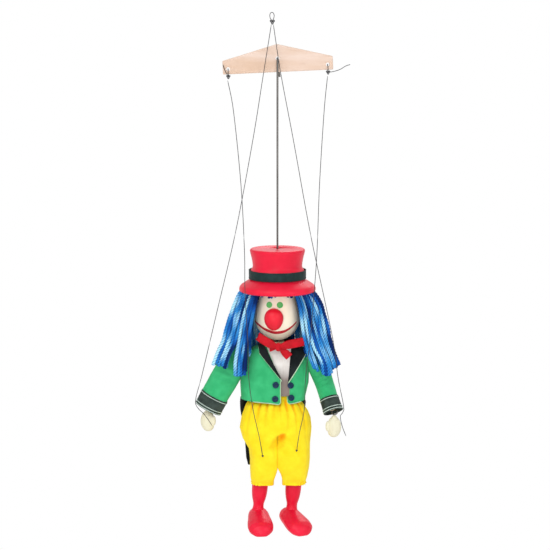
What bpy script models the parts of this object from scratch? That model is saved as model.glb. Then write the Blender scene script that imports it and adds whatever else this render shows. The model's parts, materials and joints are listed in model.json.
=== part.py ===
"""Clown marionette: a wooden string puppet hung from a hand-held control bar.

Units are metres and +Z is up. The puppet faces -Y, and left means the viewer's left, -X.
The origin is the control bar's centre hole, where the head wire hangs.
"""
import math

import bmesh
import bpy
from mathutils import Matrix, Vector

# Fits
FIT_GAP = 0.0003
LINK_SWING_GAP = 0.0010

# Control bar
BAR_WIDTH = 0.0755
BAR_HEIGHT = 0.0190
BAR_END_HEIGHT = 0.0092
BAR_THICKNESS = 0.0050
BAR_EDGE_ROUND = 0.0006
BAR_HOLE_HEIGHT = 0.0093
BAR_TILT = 2.6
STRING_HOLE_INSET = 0.0036
STRING_HOLE_HEIGHT = 0.0036
STRING_HOLE_RADIUS = 0.0013

# Head wire and the linked eyes at the neck
WIRE_RADIUS = 0.0007
WIRE_DROP = 0.1308
WIRE_TAIL = 0.0034
WIRE_TAIL_SIDE = 0.0015
WIRE_BEND_INSET = 0.4
WIRE_BEND_DIP = 0.3
EYE_OPENING = (40, 325)
EYE_POINTS = 12
LINK_RING_RADIUS = 0.0022
LINK_STEM = 0.0012
NECK_EYE_SHANK = 0.0085

# Strings
STRING_RADIUS = 0.00025
KNOT_RADIUS = 0.0011

# Hat and its band
HAT_TOP_RADIUS = 0.0193
HAT_WAIST_RADIUS = 0.0172
HAT_WAIST_DROP = 0.0118
HAT_SEAT_RADIUS = 0.0186
HAT_CROWN_HEIGHT = 0.0212
BAND_HEIGHT = 0.0062
BAND_THICKNESS = 0.0006
BRIM_RADIUS = 0.0268
BRIM_SLOPE = 0.0050
BRIM_THICKNESS = 0.0038
HAT_RECESS_DEPTH = 0.0105

# Head and nose
HEAD_TOP_RADIUS = 0.0132
HEAD_RADIUS = 0.0157
HEAD_HEIGHT = 0.0472
HEAD_CHIN_HEIGHT = 0.0160
HEAD_CROWN_HEIGHT = 0.0120
FACE_TURN = 8.0
NOSE_WIDTH = 0.0127
NOSE_HEIGHT = 0.0152
NOSE_DEPTH = 0.0110
NOSE_ABOVE_CHIN = 0.0175
NOSE_PROUD = 0.0023
NOSE_PEG_RADIUS = 0.0016
NOSE_PEG_LENGTH = 0.0100

# Hair
HAIR_THICKNESS = 0.0075
HAIR_RIDGES = 7
HAIR_RIDGE_DEPTH = 0.0009

# Torso block
NECK_RADIUS = 0.0050
NECK_BORE_RADIUS = 0.0036
NECK_HEIGHT = 0.0030
TORSO_HALF_WIDTH = 0.0170
TORSO_HALF_DEPTH = 0.0090
TORSO_HEIGHT = 0.0435
HIP_TAB_WIDTH = 0.0110
HIP_TAB_RADIUS = 0.0045
HIP_DROP = 0.0070

# Arms
SHOULDER_DROP = 0.0070
SHOULDER_X = 0.0225
SHOULDER_PIN_RADIUS = 0.0010
SHOULDER_PIN_HEAD = 0.0018
SHOULDER_PIN_BITE = 0.0060
SHOULDER_KNOB_RADIUS = 0.0040
ARM_RADIUS = 0.0034
UPPER_ARM_LENGTH = 0.0250
FOREARM_LENGTH = 0.0205
ARM_TENON = 0.0020
ARM_PIN_RADIUS = 0.0008
ARM_LEAN = {"left": 34.0, "right": 23.0}
ELBOW_BEND = {"left": 0.0, "right": 32.0}
WRIST_WIRE_RADIUS = 0.0005
WRIST_RING_RADIUS = 0.0020
WRIST_SHANK = 0.0045
WRIST_STEM = 0.0006
HAND_WIDTH = 0.0100
HAND_THICKNESS = 0.0066
HAND_HEIGHT = 0.0135
HAND_TONGUE = 0.0014
HAND_TONGUE_HOLE = 0.0009
THUMB_OUT = 0.0042
THUMB_FORWARD = 0.0013
THUMB_WIDTH = 0.0034
THUMB_THICKNESS = 0.0034
THUMB_LENGTH = 0.0073

# Legs and shoes
HIP_X = 0.0117
HIP_AXLE_RADIUS = 0.0012
HIP_KNOB_RADIUS = 0.0048
THIGH_RADIUS = 0.0040
THIGH_LENGTH = 0.0280
LEG_TENON = 0.0024
LEG_PIN_RADIUS = 0.0010
CALF_RADIUS = 0.0058
CALF_DROP = 0.0176
ANKLE_RADIUS = 0.0038
SHIN_LENGTH = 0.0390
ANKLE_PEG = 0.0060
LEG_LEAN = {"left": 1.6, "right": -0.6}
SHOE_LENGTH = 0.0325
SHOE_WIDTH = 0.0180
SHOE_HEIGHT = 0.0115
SHOE_HEEL_BACK = 0.0075
SHOE_ANKLE_HEIGHT = 0.0130
ANKLE_COLLAR = 0.0008
ANKLE_PEG_RADIUS = 0.0024
SHOE_DROOP = 9.0
SHOE_YAW = {"left": 6.0, "right": 24.0}

# Clothes
CLOTH = 0.0012
JACKET_HALF_WIDTH = 0.0240
JACKET_HALF_DEPTH = 0.0126
JACKET_LENGTH = 0.0385
COLLAR_RISE = 0.0008
LAPEL_THICKNESS = 0.0007
LAPEL_DEPTH_SHARE = 0.62
LAPEL_INNER_X = {"left": 0.0063, "right": 0.0072}
LAPEL_OUTER_X = {"left": 0.0124, "right": 0.0160}
LAPEL_CORNER_DROP = {"left": 0.0050, "right": 0.0032}
LAPEL_TIP = 0.0010
SHIRT_THICKNESS = 0.0007
SHIRT_HALF_WIDTH = 0.0130
SHIRT_TOP_DROP = 0.0039
FRONT_GAP = 0.0042
FRONT_SHIFT = 0.0042
BUTTON_RADIUS = 0.0021
BUTTON_THICKNESS = 0.0011
BUTTON_SPREAD = 0.0054
BUTTON_CLEAR = 0.0005
BUTTON_LOWER_RISE = 0.0030
SLEEVE_HALF_WIDTH = {"left": 0.0100, "right": 0.0075}
SLEEVE_HALF_DEPTH = 0.0066
SLEEVE_CREASE = 0.0004
CUFF_EXTRA = 0.0005
CUFF_LENGTH = 0.0092
TAIL_LENGTH = 0.0500
TAIL_WIDTH = 0.0215
TAIL_FOLD = 0.0012
TAIL_SPLIT = 0.0060
WAIST_TUCK = 0.0030
TROUSER_HALF_WIDTH = 0.0262
TROUSER_HALF_DEPTH = 0.0165
TROUSER_LENGTH = 0.0665
TROUSER_LEG_HALF_WIDTH = 0.0110
HEM_RADIUS = 0.0082
TROUSER_FOLDS = 8
TROUSER_FOLD_DEPTH = 0.0007
BOW_LOOP_LENGTH = 0.0160
BOW_HEIGHT = 0.0075
BOW_THICKNESS = 0.0040
BOW_DROP = 0.0010

# Facets
TURN_STEPS = 24
ROUND_SIDES = 16
PIN_SIDES = 12

SIDES = {"left": -1, "right": 1}

# Levels that the pieces stack from, top to bottom
HAT_TOP_Z = -WIRE_DROP
BRIM_TOP_Z = HAT_TOP_Z - HAT_CROWN_HEIGHT
BRIM_UNDER_Z = BRIM_TOP_Z - BRIM_THICKNESS - BRIM_SLOPE / 2
RECESS_TOP_Z = BRIM_UNDER_Z + HAT_RECESS_DEPTH
HEAD_TOP_Z = RECESS_TOP_Z - FIT_GAP
CHIN_Z = HEAD_TOP_Z - HEAD_HEIGHT
NECK_TOP_Z = CHIN_Z - LINK_SWING_GAP
LINK_GAP = 2 * WIRE_RADIUS + FIT_GAP
NECK_EYE_TOP_Z = NECK_TOP_Z - LINK_STEM - 2 * LINK_RING_RADIUS + LINK_GAP
NECK_LINK_Z = NECK_EYE_TOP_Z - LINK_GAP / 2
SHOULDER_TOP_Z = NECK_TOP_Z - NECK_HEIGHT
SHOULDER_Z = NECK_TOP_Z - SHOULDER_DROP
TORSO_BOTTOM_Z = SHOULDER_TOP_Z - TORSO_HEIGHT
HIP_Z = TORSO_BOTTOM_Z - HIP_DROP
COLLAR_Z = SHOULDER_TOP_Z + COLLAR_RISE
JACKET_HEM_Z = COLLAR_Z - JACKET_LENGTH
LAPEL_END_Z = COLLAR_Z - LAPEL_DEPTH_SHARE * JACKET_LENGTH
WAIST_Z = JACKET_HEM_Z + WAIST_TUCK
TROUSER_HEM_Z = WAIST_Z - TROUSER_LENGTH
BAR_FRONT_Y = WIRE_RADIUS + FIT_GAP
BAR_BACK_Y = BAR_FRONT_Y + BAR_THICKNESS


# Scene, materials and small helpers

def clear_scene():
    for old in list(bpy.data.objects):
        bpy.data.objects.remove(old, do_unlink=True)


def new_collection(name):
    group = bpy.data.collections.new(name)
    bpy.context.scene.collection.children.link(group)
    return group


def paint(name, colour, roughness, metallic=0.0):
    material = bpy.data.materials.new(name)
    material.use_nodes = True
    shader = material.node_tree.nodes["Principled BSDF"]
    shader.inputs["Base Color"].default_value = (*colour, 1.0)
    shader.inputs["Roughness"].default_value = roughness
    shader.inputs["Metallic"].default_value = metallic
    material.diffuse_color = (*colour, 1.0)
    return material


def add_object(name, data, material):
    """Make an object in the parts collection, or in the cutters collection where it has no material."""
    item = bpy.data.objects.new(name, data)
    if material is None:
        CUTTERS.objects.link(item)
        item.hide_render = True
        item.display_type = "WIRE"
    else:
        PARTS.objects.link(item)
        data.materials.append(material)
    return item


def add_empty(name, parent, location=(0.0, 0.0, 0.0), rotation=(0.0, 0.0, 0.0)):
    """Make a joint frame. Its location and rotation are in its parent's frame."""
    frame = bpy.data.objects.new(name, None)
    PARTS.objects.link(frame)
    frame.empty_display_size = 0.005
    frame.parent = parent
    frame.location = location
    frame.rotation_euler = [math.radians(angle) for angle in rotation]
    bpy.context.view_layer.update()
    return frame


def ride(item, frame):
    """Parent a piece that is modelled in the shared frame, and leave it where it is."""
    item.parent = frame
    item.matrix_parent_inverse = frame.matrix_world.inverted()
    return item


def mesh_from_bmesh(name, shape):
    bmesh.ops.recalc_face_normals(shape, faces=shape.faces)
    data = bpy.data.meshes.new(name)
    shape.to_mesh(data)
    shape.free()
    return data


def box(name, low, high, material=None):
    shape = bmesh.new()
    bmesh.ops.create_cube(shape, size=1.0)
    low, high = Vector(low), Vector(high)
    size = high - low
    bmesh.ops.scale(shape, vec=size, verts=shape.verts)
    bmesh.ops.translate(shape, vec=(low + high) / 2, verts=shape.verts)
    return add_object(name, mesh_from_bmesh(name, shape), material)


def rod(name, start, end, radius, material=None, sides=PIN_SIDES, end_radius=None):
    """A round bar, or a cone, from one point to another."""
    start, end = Vector(start), Vector(end)
    far_radius = radius if end_radius is None else end_radius
    shape = bmesh.new()
    bmesh.ops.create_cone(shape, cap_ends=True, segments=sides, radius1=radius, radius2=far_radius,
                          depth=(end - start).length)
    turn = (end - start).to_track_quat("Z", "Y").to_matrix().to_4x4()
    bmesh.ops.transform(shape, matrix=Matrix.Translation((start + end) / 2) @ turn, verts=shape.verts)
    return add_object(name, mesh_from_bmesh(name, shape), material)


def ellipsoid(name, centre, radii, material=None, rings=10):
    shape = bmesh.new()
    bmesh.ops.create_uvsphere(shape, u_segments=2 * rings, v_segments=rings, radius=1.0)
    bmesh.ops.scale(shape, vec=radii, verts=shape.verts)
    bmesh.ops.translate(shape, vec=centre, verts=shape.verts)
    return add_object(name, mesh_from_bmesh(name, shape), material)


def turned(name, profile, material=None, steps=TURN_STEPS):
    """A lathe-turned solid round Z. The profile is a closed outline of (radius, height) points."""
    data = bpy.data.meshes.new(name)
    count = len(profile)
    edges = [(index, (index + 1) % count) for index in range(count)]
    data.from_pydata([(radius, 0.0, height) for radius, height in profile], edges, [])
    item = add_object(name, data, material)
    screw = item.modifiers.new("turn", "SCREW")
    screw.steps = steps
    screw.render_steps = steps
    screw.use_merge_vertices = True
    screw.merge_threshold = 0.00001
    return item


def wire(name, points, radius, material, resolution=2):
    """A bent wire or a string: one open tube with closed ends."""
    data = bpy.data.curves.new(name, "CURVE")
    data.dimensions = "3D"
    data.bevel_depth = radius
    data.bevel_resolution = resolution
    data.use_fill_caps = True
    line = data.splines.new("POLY")
    line.points.add(len(points) - 1)
    for point, place in zip(line.points, points):
        point.co = (*place, 1.0)
    return add_object(name, data, material)


def solid_from_curve(curve):
    """Swap a curve object for the mesh it evaluates to, so that it can take a Boolean."""
    bpy.context.view_layer.update()
    source = curve.evaluated_get(bpy.context.evaluated_depsgraph_get())
    data = bpy.data.meshes.new_from_object(source)
    shape = bmesh.new()
    shape.from_mesh(data)
    bmesh.ops.remove_doubles(shape, verts=shape.verts, dist=0.000001)
    shape.to_mesh(data)
    shape.free()
    name = curve.name
    material = curve.data.materials[0] if curve.data.materials else None
    place = curve.matrix_world.copy()
    bpy.data.objects.remove(curve)
    data.materials.clear()
    item = add_object(name, data, material)
    item.matrix_world = place
    return item


def flat_plate(name, outline, depth_low, depth_high, material=None):
    """A plate cut to an (x, z) outline, reaching from one depth in Y to another."""
    shape = bmesh.new()
    front = [shape.verts.new((x, depth_low, z)) for x, z in outline]
    face = shape.faces.new(front)
    pushed = bmesh.ops.extrude_face_region(shape, geom=[face])
    moved = [part for part in pushed["geom"] if isinstance(part, bmesh.types.BMVert)]
    bmesh.ops.translate(shape, vec=(0.0, depth_high - depth_low, 0.0), verts=moved)
    return add_object(name, mesh_from_bmesh(name, shape), material)


def loft(name, rings, material=None):
    """A solid through rings of points, all with the same count, closed by a face at each end."""
    shape = bmesh.new()
    rows = [[shape.verts.new(point) for point in ring] for ring in rings]
    count = len(rows[0])
    for upper, lower in zip(rows, rows[1:]):
        for index in range(count):
            after = (index + 1) % count
            shape.faces.new((upper[index], upper[after], lower[after], lower[index]))
    shape.faces.new(rows[0])
    shape.faces.new(rows[-1])
    return add_object(name, mesh_from_bmesh(name, shape), material)


def oval_ring(centre, half_width, half_depth, sides, power=2.0, ripple=0.0, waves=0, phase=0.0):
    """A level ring, oval or squarish by its power, with waves round it where cloth is gathered."""
    ring = []
    for index in range(sides):
        angle = 2 * math.pi * index / sides
        swell = ripple * math.sin(waves * angle + phase)
        cosine, sine = math.cos(angle), math.sin(angle)
        x = math.copysign(abs(cosine) ** (2 / power), cosine) * (half_width + swell)
        y = math.copysign(abs(sine) ** (2 / power), sine) * (half_depth + swell)
        ring.append((centre[0] + x, centre[1] + y, centre[2]))
    return ring


def combine(item, other, operation):
    change = item.modifiers.new(operation.lower(), "BOOLEAN")
    change.operation = operation
    change.solver = "EXACT"
    change.object = other
    return item


def cut(item, *others):
    for other in others:
        combine(item, other, "DIFFERENCE")
    return item


def fuse(item, *others):
    for other in others:
        combine(item, other, "UNION")
    return item


def smooth_route(points, count):
    """Read count points, evenly spaced by parameter, from a smooth curve through the chosen points."""
    places = [Vector(point) for point in points]
    places = [2 * places[0] - places[1]] + places + [2 * places[-1] - places[-2]]
    spans = len(points) - 1
    route = []
    for index in range(count):
        position = index * spans / (count - 1)
        span = min(int(position), spans - 1)
        share = position - span
        before, start, end, after = places[span:span + 4]
        route.append(0.5 * (2 * start + (end - before) * share
                            + (2 * before - 5 * start + 4 * end - after) * share ** 2
                            + (3 * start - before - 3 * end + after) * share ** 3))
    return route


def ease(start, end, share):
    return start + (end - start) * (1 - math.cos(math.pi * share)) / 2


def grown(sections, extra):
    """Level sections of (height, half width, half depth), made larger or smaller all round."""
    return [(height, half_width + extra, half_depth + extra) for height, half_width, half_depth in sections]


def stretched(sections, reach):
    """The same sections with both ends carried further, for a cutter that has to pass right through."""
    top, bottom = sections[0], sections[-1]
    return [(top[0] + reach, *top[1:])] + list(sections) + [(bottom[0] - reach, *bottom[1:])]


def oval_solid(name, sections, sides, material=None, power=2.0):
    rings = [oval_ring((0.0, 0.0, height), half_width, half_depth, sides, power)
             for height, half_width, half_depth in sections]
    return loft(name, rings, material)


# Control bar and strings

def make_control_bar(material):
    half = BAR_WIDTH / 2
    low = -BAR_HOLE_HEIGHT
    end_top = low + BAR_END_HEIGHT
    apex = low + BAR_HEIGHT
    outline = [(-half, low), (half, low), (half, end_top), (0.0, apex), (-half, end_top)]
    bar = flat_plate("control_bar", outline, BAR_FRONT_Y, BAR_BACK_Y, material)
    edge = bar.modifiers.new("soft_edges", "BEVEL")
    edge.width = BAR_EDGE_ROUND
    edge.segments = 2
    holes = [(0.0, 0.0, WIRE_RADIUS + 2 * FIT_GAP)]
    for side in SIDES.values():
        holes.append((side * (half - STRING_HOLE_INSET), low + STRING_HOLE_HEIGHT, STRING_HOLE_RADIUS))
    for index, (x, z, radius) in enumerate(holes):
        hole = rod(f"bar_hole_{index}", (x, 0.0, z), (x, BAR_BACK_Y + BAR_FRONT_Y, z), radius)
        hole.parent = bar
        cut(bar, hole)
    bar.rotation_euler.y = -math.radians(BAR_TILT)
    return bar


def bar_point(x, y, z):
    """A place on the level bar, carried round with its tilt."""
    return Matrix.Rotation(-math.radians(BAR_TILT), 3, "Y") @ Vector((x, y, z))


def make_bar_knot(name, side, material):
    """The loop of string through a bar end, closed by a knot under the bar's lower edge."""
    x = side * (BAR_WIDTH / 2 - STRING_HOLE_INSET)
    low = -BAR_HOLE_HEIGHT
    hole_z = low + STRING_HOLE_HEIGHT
    reach = STRING_RADIUS + FIT_GAP
    front = BAR_FRONT_Y - reach
    back = BAR_BACK_Y + reach
    under = low - reach
    bend = 2 * STRING_RADIUS
    route = [(x, front, under - KNOT_RADIUS), (x, front, hole_z - bend), (x, front + bend, hole_z),
             (x, back - bend, hole_z), (x, back, hole_z - bend), (x, back, under + bend),
             (x, back - bend, under), (x, front + 3 * KNOT_RADIUS, under)]
    knot = solid_from_curve(wire(name, [bar_point(*point) for point in route], STRING_RADIUS, material, 1))
    ball_at = bar_point(x, front, under - KNOT_RADIUS)
    return fuse(knot, ellipsoid(name + "_ball", ball_at, (KNOT_RADIUS,) * 3, rings=5))


def ring_points(centre, radius, across, along, first, last, count):
    """Points round a wire eye, from one angle off its top to another."""
    points = []
    for index in range(count):
        angle = math.radians(first + (last - first) * index / (count - 1))
        points.append(centre + radius * (math.sin(angle) * across + math.cos(angle) * along))
    return points


def make_head_wire(material):
    back = BAR_BACK_Y + WIRE_RADIUS + FIT_GAP
    bend = 2 * WIRE_RADIUS
    tail_z = -BAR_HOLE_HEIGHT - WIRE_TAIL
    ring_bottom = NECK_EYE_TOP_Z - LINK_GAP
    centre = Vector((0.0, 0.0, ring_bottom + LINK_RING_RADIUS))
    across, along = Vector((1, 0, 0)), Vector((0, 0, 1))
    eye = ring_points(centre, LINK_RING_RADIUS, across, along, *EYE_OPENING, EYE_POINTS)
    stem_end = Vector((0.0, 0.0, ring_bottom + 2 * LINK_RING_RADIUS + LINK_STEM))
    inset, dip = WIRE_BEND_INSET * bend, WIRE_BEND_DIP * bend
    hook = [(back, -bend), (back - inset, -dip), (back - bend, 0.0), (bend, 0.0), (inset, -dip), (0.0, -bend)]
    route = [Vector((WIRE_TAIL_SIDE, back, tail_z))]
    route += [Vector((0.0, y, z)) for y, z in hook]
    route.append(stem_end)
    return wire("head_wire", route + eye, WIRE_RADIUS, material)


def make_neck_eye(material):
    centre = Vector((0.0, 0.0, NECK_EYE_TOP_Z - LINK_RING_RADIUS))
    across, along = Vector((0, 1, 0)), Vector((0, 0, -1))
    eye = ring_points(centre, LINK_RING_RADIUS, across, along, *EYE_OPENING, EYE_POINTS)
    shank_end = centre + (LINK_RING_RADIUS + NECK_EYE_SHANK) * along
    shank_top = centre + (LINK_RING_RADIUS + LINK_STEM) * along
    return wire("neck_eye", [shank_end, shank_top] + eye, WIRE_RADIUS, material)


HAND_STRING_ROUTES = {
    "left": [(-0.0042, -0.0030, 0.0226), (-0.0095, -0.0030, -0.0100), (-0.0170, -0.0028, -0.0560),
             (-0.0290, -0.0036, -0.1190), (-0.0420, -0.0056, -0.1740), (-0.0525, -0.0078, -0.2180),
             (-0.0572, -0.0095, -0.2358), (-0.0560, -0.0115, -0.2412), (-0.0510, -0.0125, -0.2462),
             (-0.0456, -0.0125, -0.2542)],
    "right": [(-0.0028, -0.0034, 0.0226), (0.0022, -0.0042, -0.0100), (0.0110, -0.0070, -0.0560),
              (0.0226, -0.0110, -0.1190), (0.0330, -0.0152, -0.1670), (0.0390, -0.0186, -0.1960),
              (0.0415, -0.0208, -0.2160), (0.0438, -0.0212, -0.2280), (0.0454, -0.0220, -0.2358),
              (0.0458, -0.0235, -0.2410), (0.0434, -0.0245, -0.2440), (0.0446, -0.0245, -0.2510),
              (0.0474, -0.0242, -0.2585)],
}
LEG_STRING_ROUTES = {
    "left": [(-0.0340, -0.0006, -0.0150), (-0.0300, -0.0050, -0.0360), (-0.0250, -0.0110, -0.0850),
             (-0.0226, -0.0168, -0.1300), (-0.0222, -0.0190, -0.1600), (-0.0200, -0.0212, -0.2000),
             (-0.0198, -0.0215, -0.2180), (-0.0170, -0.0208, -0.2400), (-0.0128, -0.0190, -0.2600),
             (-0.0103, -0.0180, -0.2745)],
    "right": [(0.0342, -0.0006, -0.0120), (0.0318, -0.0050, -0.0360), (0.0288, -0.0095, -0.0850),
              (0.0272, -0.0130, -0.1300), (0.0252, -0.0150, -0.1600), (0.0226, -0.0198, -0.1900),
              (0.0194, -0.0212, -0.2180), (0.0186, -0.0208, -0.2400), (0.0152, -0.0192, -0.2580),
              (0.0134, -0.0182, -0.2705)],
}
STRING_POINTS = 20
LOOP_POINTS = 12


def make_string(name, route, material):
    return wire(name, smooth_route(route, STRING_POINTS), STRING_RADIUS, material)


HAND_KNOT_PLACE = (-0.0035, -0.0032, 0.0245)
HAND_LOOP = [(-0.0002, 0.0, 0.0006), (-0.0016, 0.0, 0.0030), (-0.0014, 0.0, 0.0056), (0.0002, 0.0, 0.0062),
             (0.0012, 0.0, 0.0046), (0.0010, 0.0, 0.0026)]


def make_hand_knot(material):
    """The knot that ties the two hand strings together, with the loop that a finger pulls."""
    top = Vector(HAND_KNOT_PLACE)
    loop = [top + Vector(step) for step in HAND_LOOP]
    curve = wire("hand_string_knot", smooth_route(loop, LOOP_POINTS), STRING_RADIUS, material, 1)
    return fuse(solid_from_curve(curve), ellipsoid("hand_knot_ball", top, (KNOT_RADIUS,) * 3, rings=5))


# Hat, head and hair

def make_hat(material):
    bore = WIRE_RADIUS + FIT_GAP
    recess = HEAD_TOP_RADIUS + FIT_GAP
    seat_top = BRIM_TOP_Z + BAND_HEIGHT + 2 * FIT_GAP
    waist_z = HAT_TOP_Z - HAT_WAIST_DROP
    edge_z = BRIM_TOP_Z - BRIM_SLOPE
    lip = BRIM_THICKNESS / 4
    profile = [(bore, HAT_TOP_Z), (HAT_TOP_RADIUS - lip, HAT_TOP_Z)]
    for step in range(5):
        share = step / 4
        z = HAT_TOP_Z - lip + (waist_z - HAT_TOP_Z) * share
        profile.append((ease(HAT_TOP_RADIUS, HAT_WAIST_RADIUS, share), z))
    profile += [(HAT_SEAT_RADIUS, seat_top), (HAT_SEAT_RADIUS, BRIM_TOP_Z),
                (HAT_SEAT_RADIUS + lip, BRIM_TOP_Z - lip), (BRIM_RADIUS - lip, edge_z),
                (BRIM_RADIUS, edge_z - lip),
                (BRIM_RADIUS, edge_z - BRIM_THICKNESS + lip), (BRIM_RADIUS - lip, edge_z - BRIM_THICKNESS),
                (recess + lip, BRIM_UNDER_Z), (recess, BRIM_UNDER_Z + lip), (recess, RECESS_TOP_Z),
                (bore, RECESS_TOP_Z)]
    return turned("hat", profile, material)


def make_hat_band(material):
    inner = HAT_SEAT_RADIUS + FIT_GAP
    outer = inner + BAND_THICKNESS
    low = BRIM_TOP_Z + FIT_GAP
    high = low + BAND_HEIGHT
    return turned("hat_band", [(inner, high), (outer, high), (outer, low), (inner, low)], material)


def head_profile():
    bore = WIRE_RADIUS + FIT_GAP
    round_edge = HEAD_TOP_RADIUS / 6
    widest_z = CHIN_Z + HEAD_CHIN_HEIGHT
    cheek_z = HEAD_TOP_Z - HEAD_CROWN_HEIGHT
    profile = [(bore, HEAD_TOP_Z), (HEAD_TOP_RADIUS - round_edge, HEAD_TOP_Z),
               (HEAD_TOP_RADIUS, HEAD_TOP_Z - round_edge)]
    for step in range(5):
        share = step / 4
        profile.append((ease(HEAD_TOP_RADIUS, HEAD_RADIUS, share), cheek_z + (widest_z - cheek_z) * share))
    last = math.acos(bore / HEAD_RADIUS)
    for step in range(1, 9):
        angle = last * step / 8
        profile.append((HEAD_RADIUS * math.cos(angle), widest_z - HEAD_CHIN_HEIGHT * math.sin(angle)))
    return profile


def face_point(forward, height):
    """A place on the face's middle line, a distance forward of the head's axis."""
    turn = math.radians(FACE_TURN)
    return Vector((-forward * math.sin(turn), -forward * math.cos(turn), height))


def make_head(material):
    head = turned("head", head_profile(), material)
    height = CHIN_Z + NOSE_ABOVE_CHIN
    deep = HEAD_RADIUS + NOSE_PROUD - NOSE_PEG_LENGTH - FIT_GAP
    hole = rod("nose_hole", face_point(deep, height), face_point(2 * HEAD_RADIUS, height),
               NOSE_PEG_RADIUS + FIT_GAP)
    return cut(head, hole)


def make_nose(material):
    """The egg-shaped nose, hollowed to sit on the face, with its peg."""
    height = CHIN_Z + NOSE_ABOVE_CHIN
    centre = face_point(HEAD_RADIUS + NOSE_PROUD, height)
    nose = ellipsoid("nose", centre, (NOSE_WIDTH / 2, NOSE_DEPTH / 2, NOSE_HEIGHT / 2), material, 8)
    face = HEAD_RADIUS + FIT_GAP
    seat = turned("nose_seat", [(0.0, HEAD_TOP_Z), (face, HEAD_TOP_Z), (face, CHIN_Z), (0.0, CHIN_Z)])
    peg = rod("nose_peg", face_point(HEAD_RADIUS + NOSE_PROUD - NOSE_PEG_LENGTH, height),
              face_point(HEAD_RADIUS + NOSE_PROUD, height), NOSE_PEG_RADIUS)
    return fuse(cut(nose, seat), peg)


HAIR_ROUTES = {
    "left": [(-0.0222, -0.0020, 0.0028, 0.0062, 1.0), (-0.0258, -0.0056, 0.0120, 0.0088, 1.0),
             (-0.0275, -0.0098, 0.0260, 0.0095, 0.95), (-0.0312, -0.0128, 0.0400, 0.0108, 0.85),
             (-0.0345, -0.0146, 0.0500, 0.0122, 0.65), (-0.0322, -0.0150, 0.0575, 0.0085, 0.4)],
    "right": [(0.0225, -0.0020, 0.0028, 0.0060, 1.0), (0.0256, -0.0056, 0.0120, 0.0084, 1.0),
              (0.0280, -0.0095, 0.0260, 0.0096, 0.95), (0.0308, -0.0122, 0.0400, 0.0106, 0.85),
              (0.0330, -0.0138, 0.0500, 0.0118, 0.65), (0.0325, -0.0140, 0.0575, 0.0085, 0.4)],
    "back": [(0.0, 0.0195, 0.0028, 0.0150, 1.0), (0.0, 0.0208, 0.0160, 0.0185, 1.0),
             (0.0, 0.0202, 0.0300, 0.0205, 0.9), (0.0, 0.0190, 0.0430, 0.0218, 0.75),
             (0.0, 0.0184, 0.0560, 0.0210, 0.45)],
}
HAIR_POWER = 2.4


def make_hair(where, material):
    """A lock of yarn: (x, y, drop below the brim, half width, thickness share) down its length."""
    rings = []
    for x, y, drop, half_width, thickness in HAIR_ROUTES[where]:
        centre = (x, y, BRIM_UNDER_Z - drop)
        half_depth = HAIR_THICKNESS * thickness / 2
        ridge = HAIR_RIDGE_DEPTH * thickness / 2
        rings.append(oval_ring(centre, half_width, half_depth, 4 * HAIR_RIDGES, HAIR_POWER, ridge,
                               2 * HAIR_RIDGES))
    return loft("hair_" + where, rings, material)


# Torso and limbs

TORSO_SHAPE = [(0.00, 0.53, 0.67), (0.035, 0.85, 0.87), (0.10, 0.96, 0.96), (0.22, 1.0, 1.0),
               (0.60, 0.92, 0.95), (0.90, 0.86, 0.80), (1.0, 0.76, 0.70)]
TORSO_POWER = 2.6


def torso_sections():
    """Half widths and depths of the torso block, from the shoulders down."""
    return [(SHOULDER_TOP_Z - drop * TORSO_HEIGHT, width * TORSO_HALF_WIDTH, depth * TORSO_HALF_DEPTH)
            for drop, width, depth in TORSO_SHAPE]


def make_torso(material):
    torso = oval_solid("torso", torso_sections(), ROUND_SIDES, material, TORSO_POWER)
    inside = SHOULDER_TOP_Z - NECK_RADIUS
    neck = rod("torso_neck", (0, 0, inside), (0, 0, NECK_TOP_Z), NECK_RADIUS, sides=ROUND_SIDES)
    half_tab = HIP_TAB_WIDTH / 2
    tab = box("torso_hip_tab", (-half_tab, -HIP_TAB_RADIUS, HIP_Z),
              (half_tab, HIP_TAB_RADIUS, TORSO_BOTTOM_Z + HIP_TAB_RADIUS))
    tab_end = rod("torso_tab_end", (-half_tab, 0, HIP_Z), (half_tab, 0, HIP_Z), HIP_TAB_RADIUS,
                  sides=ROUND_SIDES)
    fuse(torso, neck, fuse(tab, tab_end))
    bore_floor = NECK_EYE_TOP_Z - 2 * LINK_RING_RADIUS - WIRE_RADIUS - FIT_GAP
    bore = rod("neck_bore", (0, 0, bore_floor), (0, 0, CHIN_Z), NECK_BORE_RADIUS, sides=ROUND_SIDES)
    shank_end = NECK_EYE_TOP_Z - 2 * LINK_RING_RADIUS - NECK_EYE_SHANK - FIT_GAP
    shank = rod("neck_eye_hole", (0, 0, shank_end), (0, 0, CHIN_Z), WIRE_RADIUS + FIT_GAP)
    axle = rod("hip_axle_hole", (-HIP_X, 0, HIP_Z), (HIP_X, 0, HIP_Z), HIP_AXLE_RADIUS + FIT_GAP)
    cut(torso, bore, shank, axle)
    for name, side in SIDES.items():
        inner = side * (TORSO_HALF_WIDTH - SHOULDER_PIN_BITE)
        hole = rod("shoulder_pin_hole_" + name, (inner, 0, SHOULDER_Z), (side * SHOULDER_X, 0, SHOULDER_Z),
                   SHOULDER_PIN_RADIUS + FIT_GAP)
        cut(torso, hole)
    return torso


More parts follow.
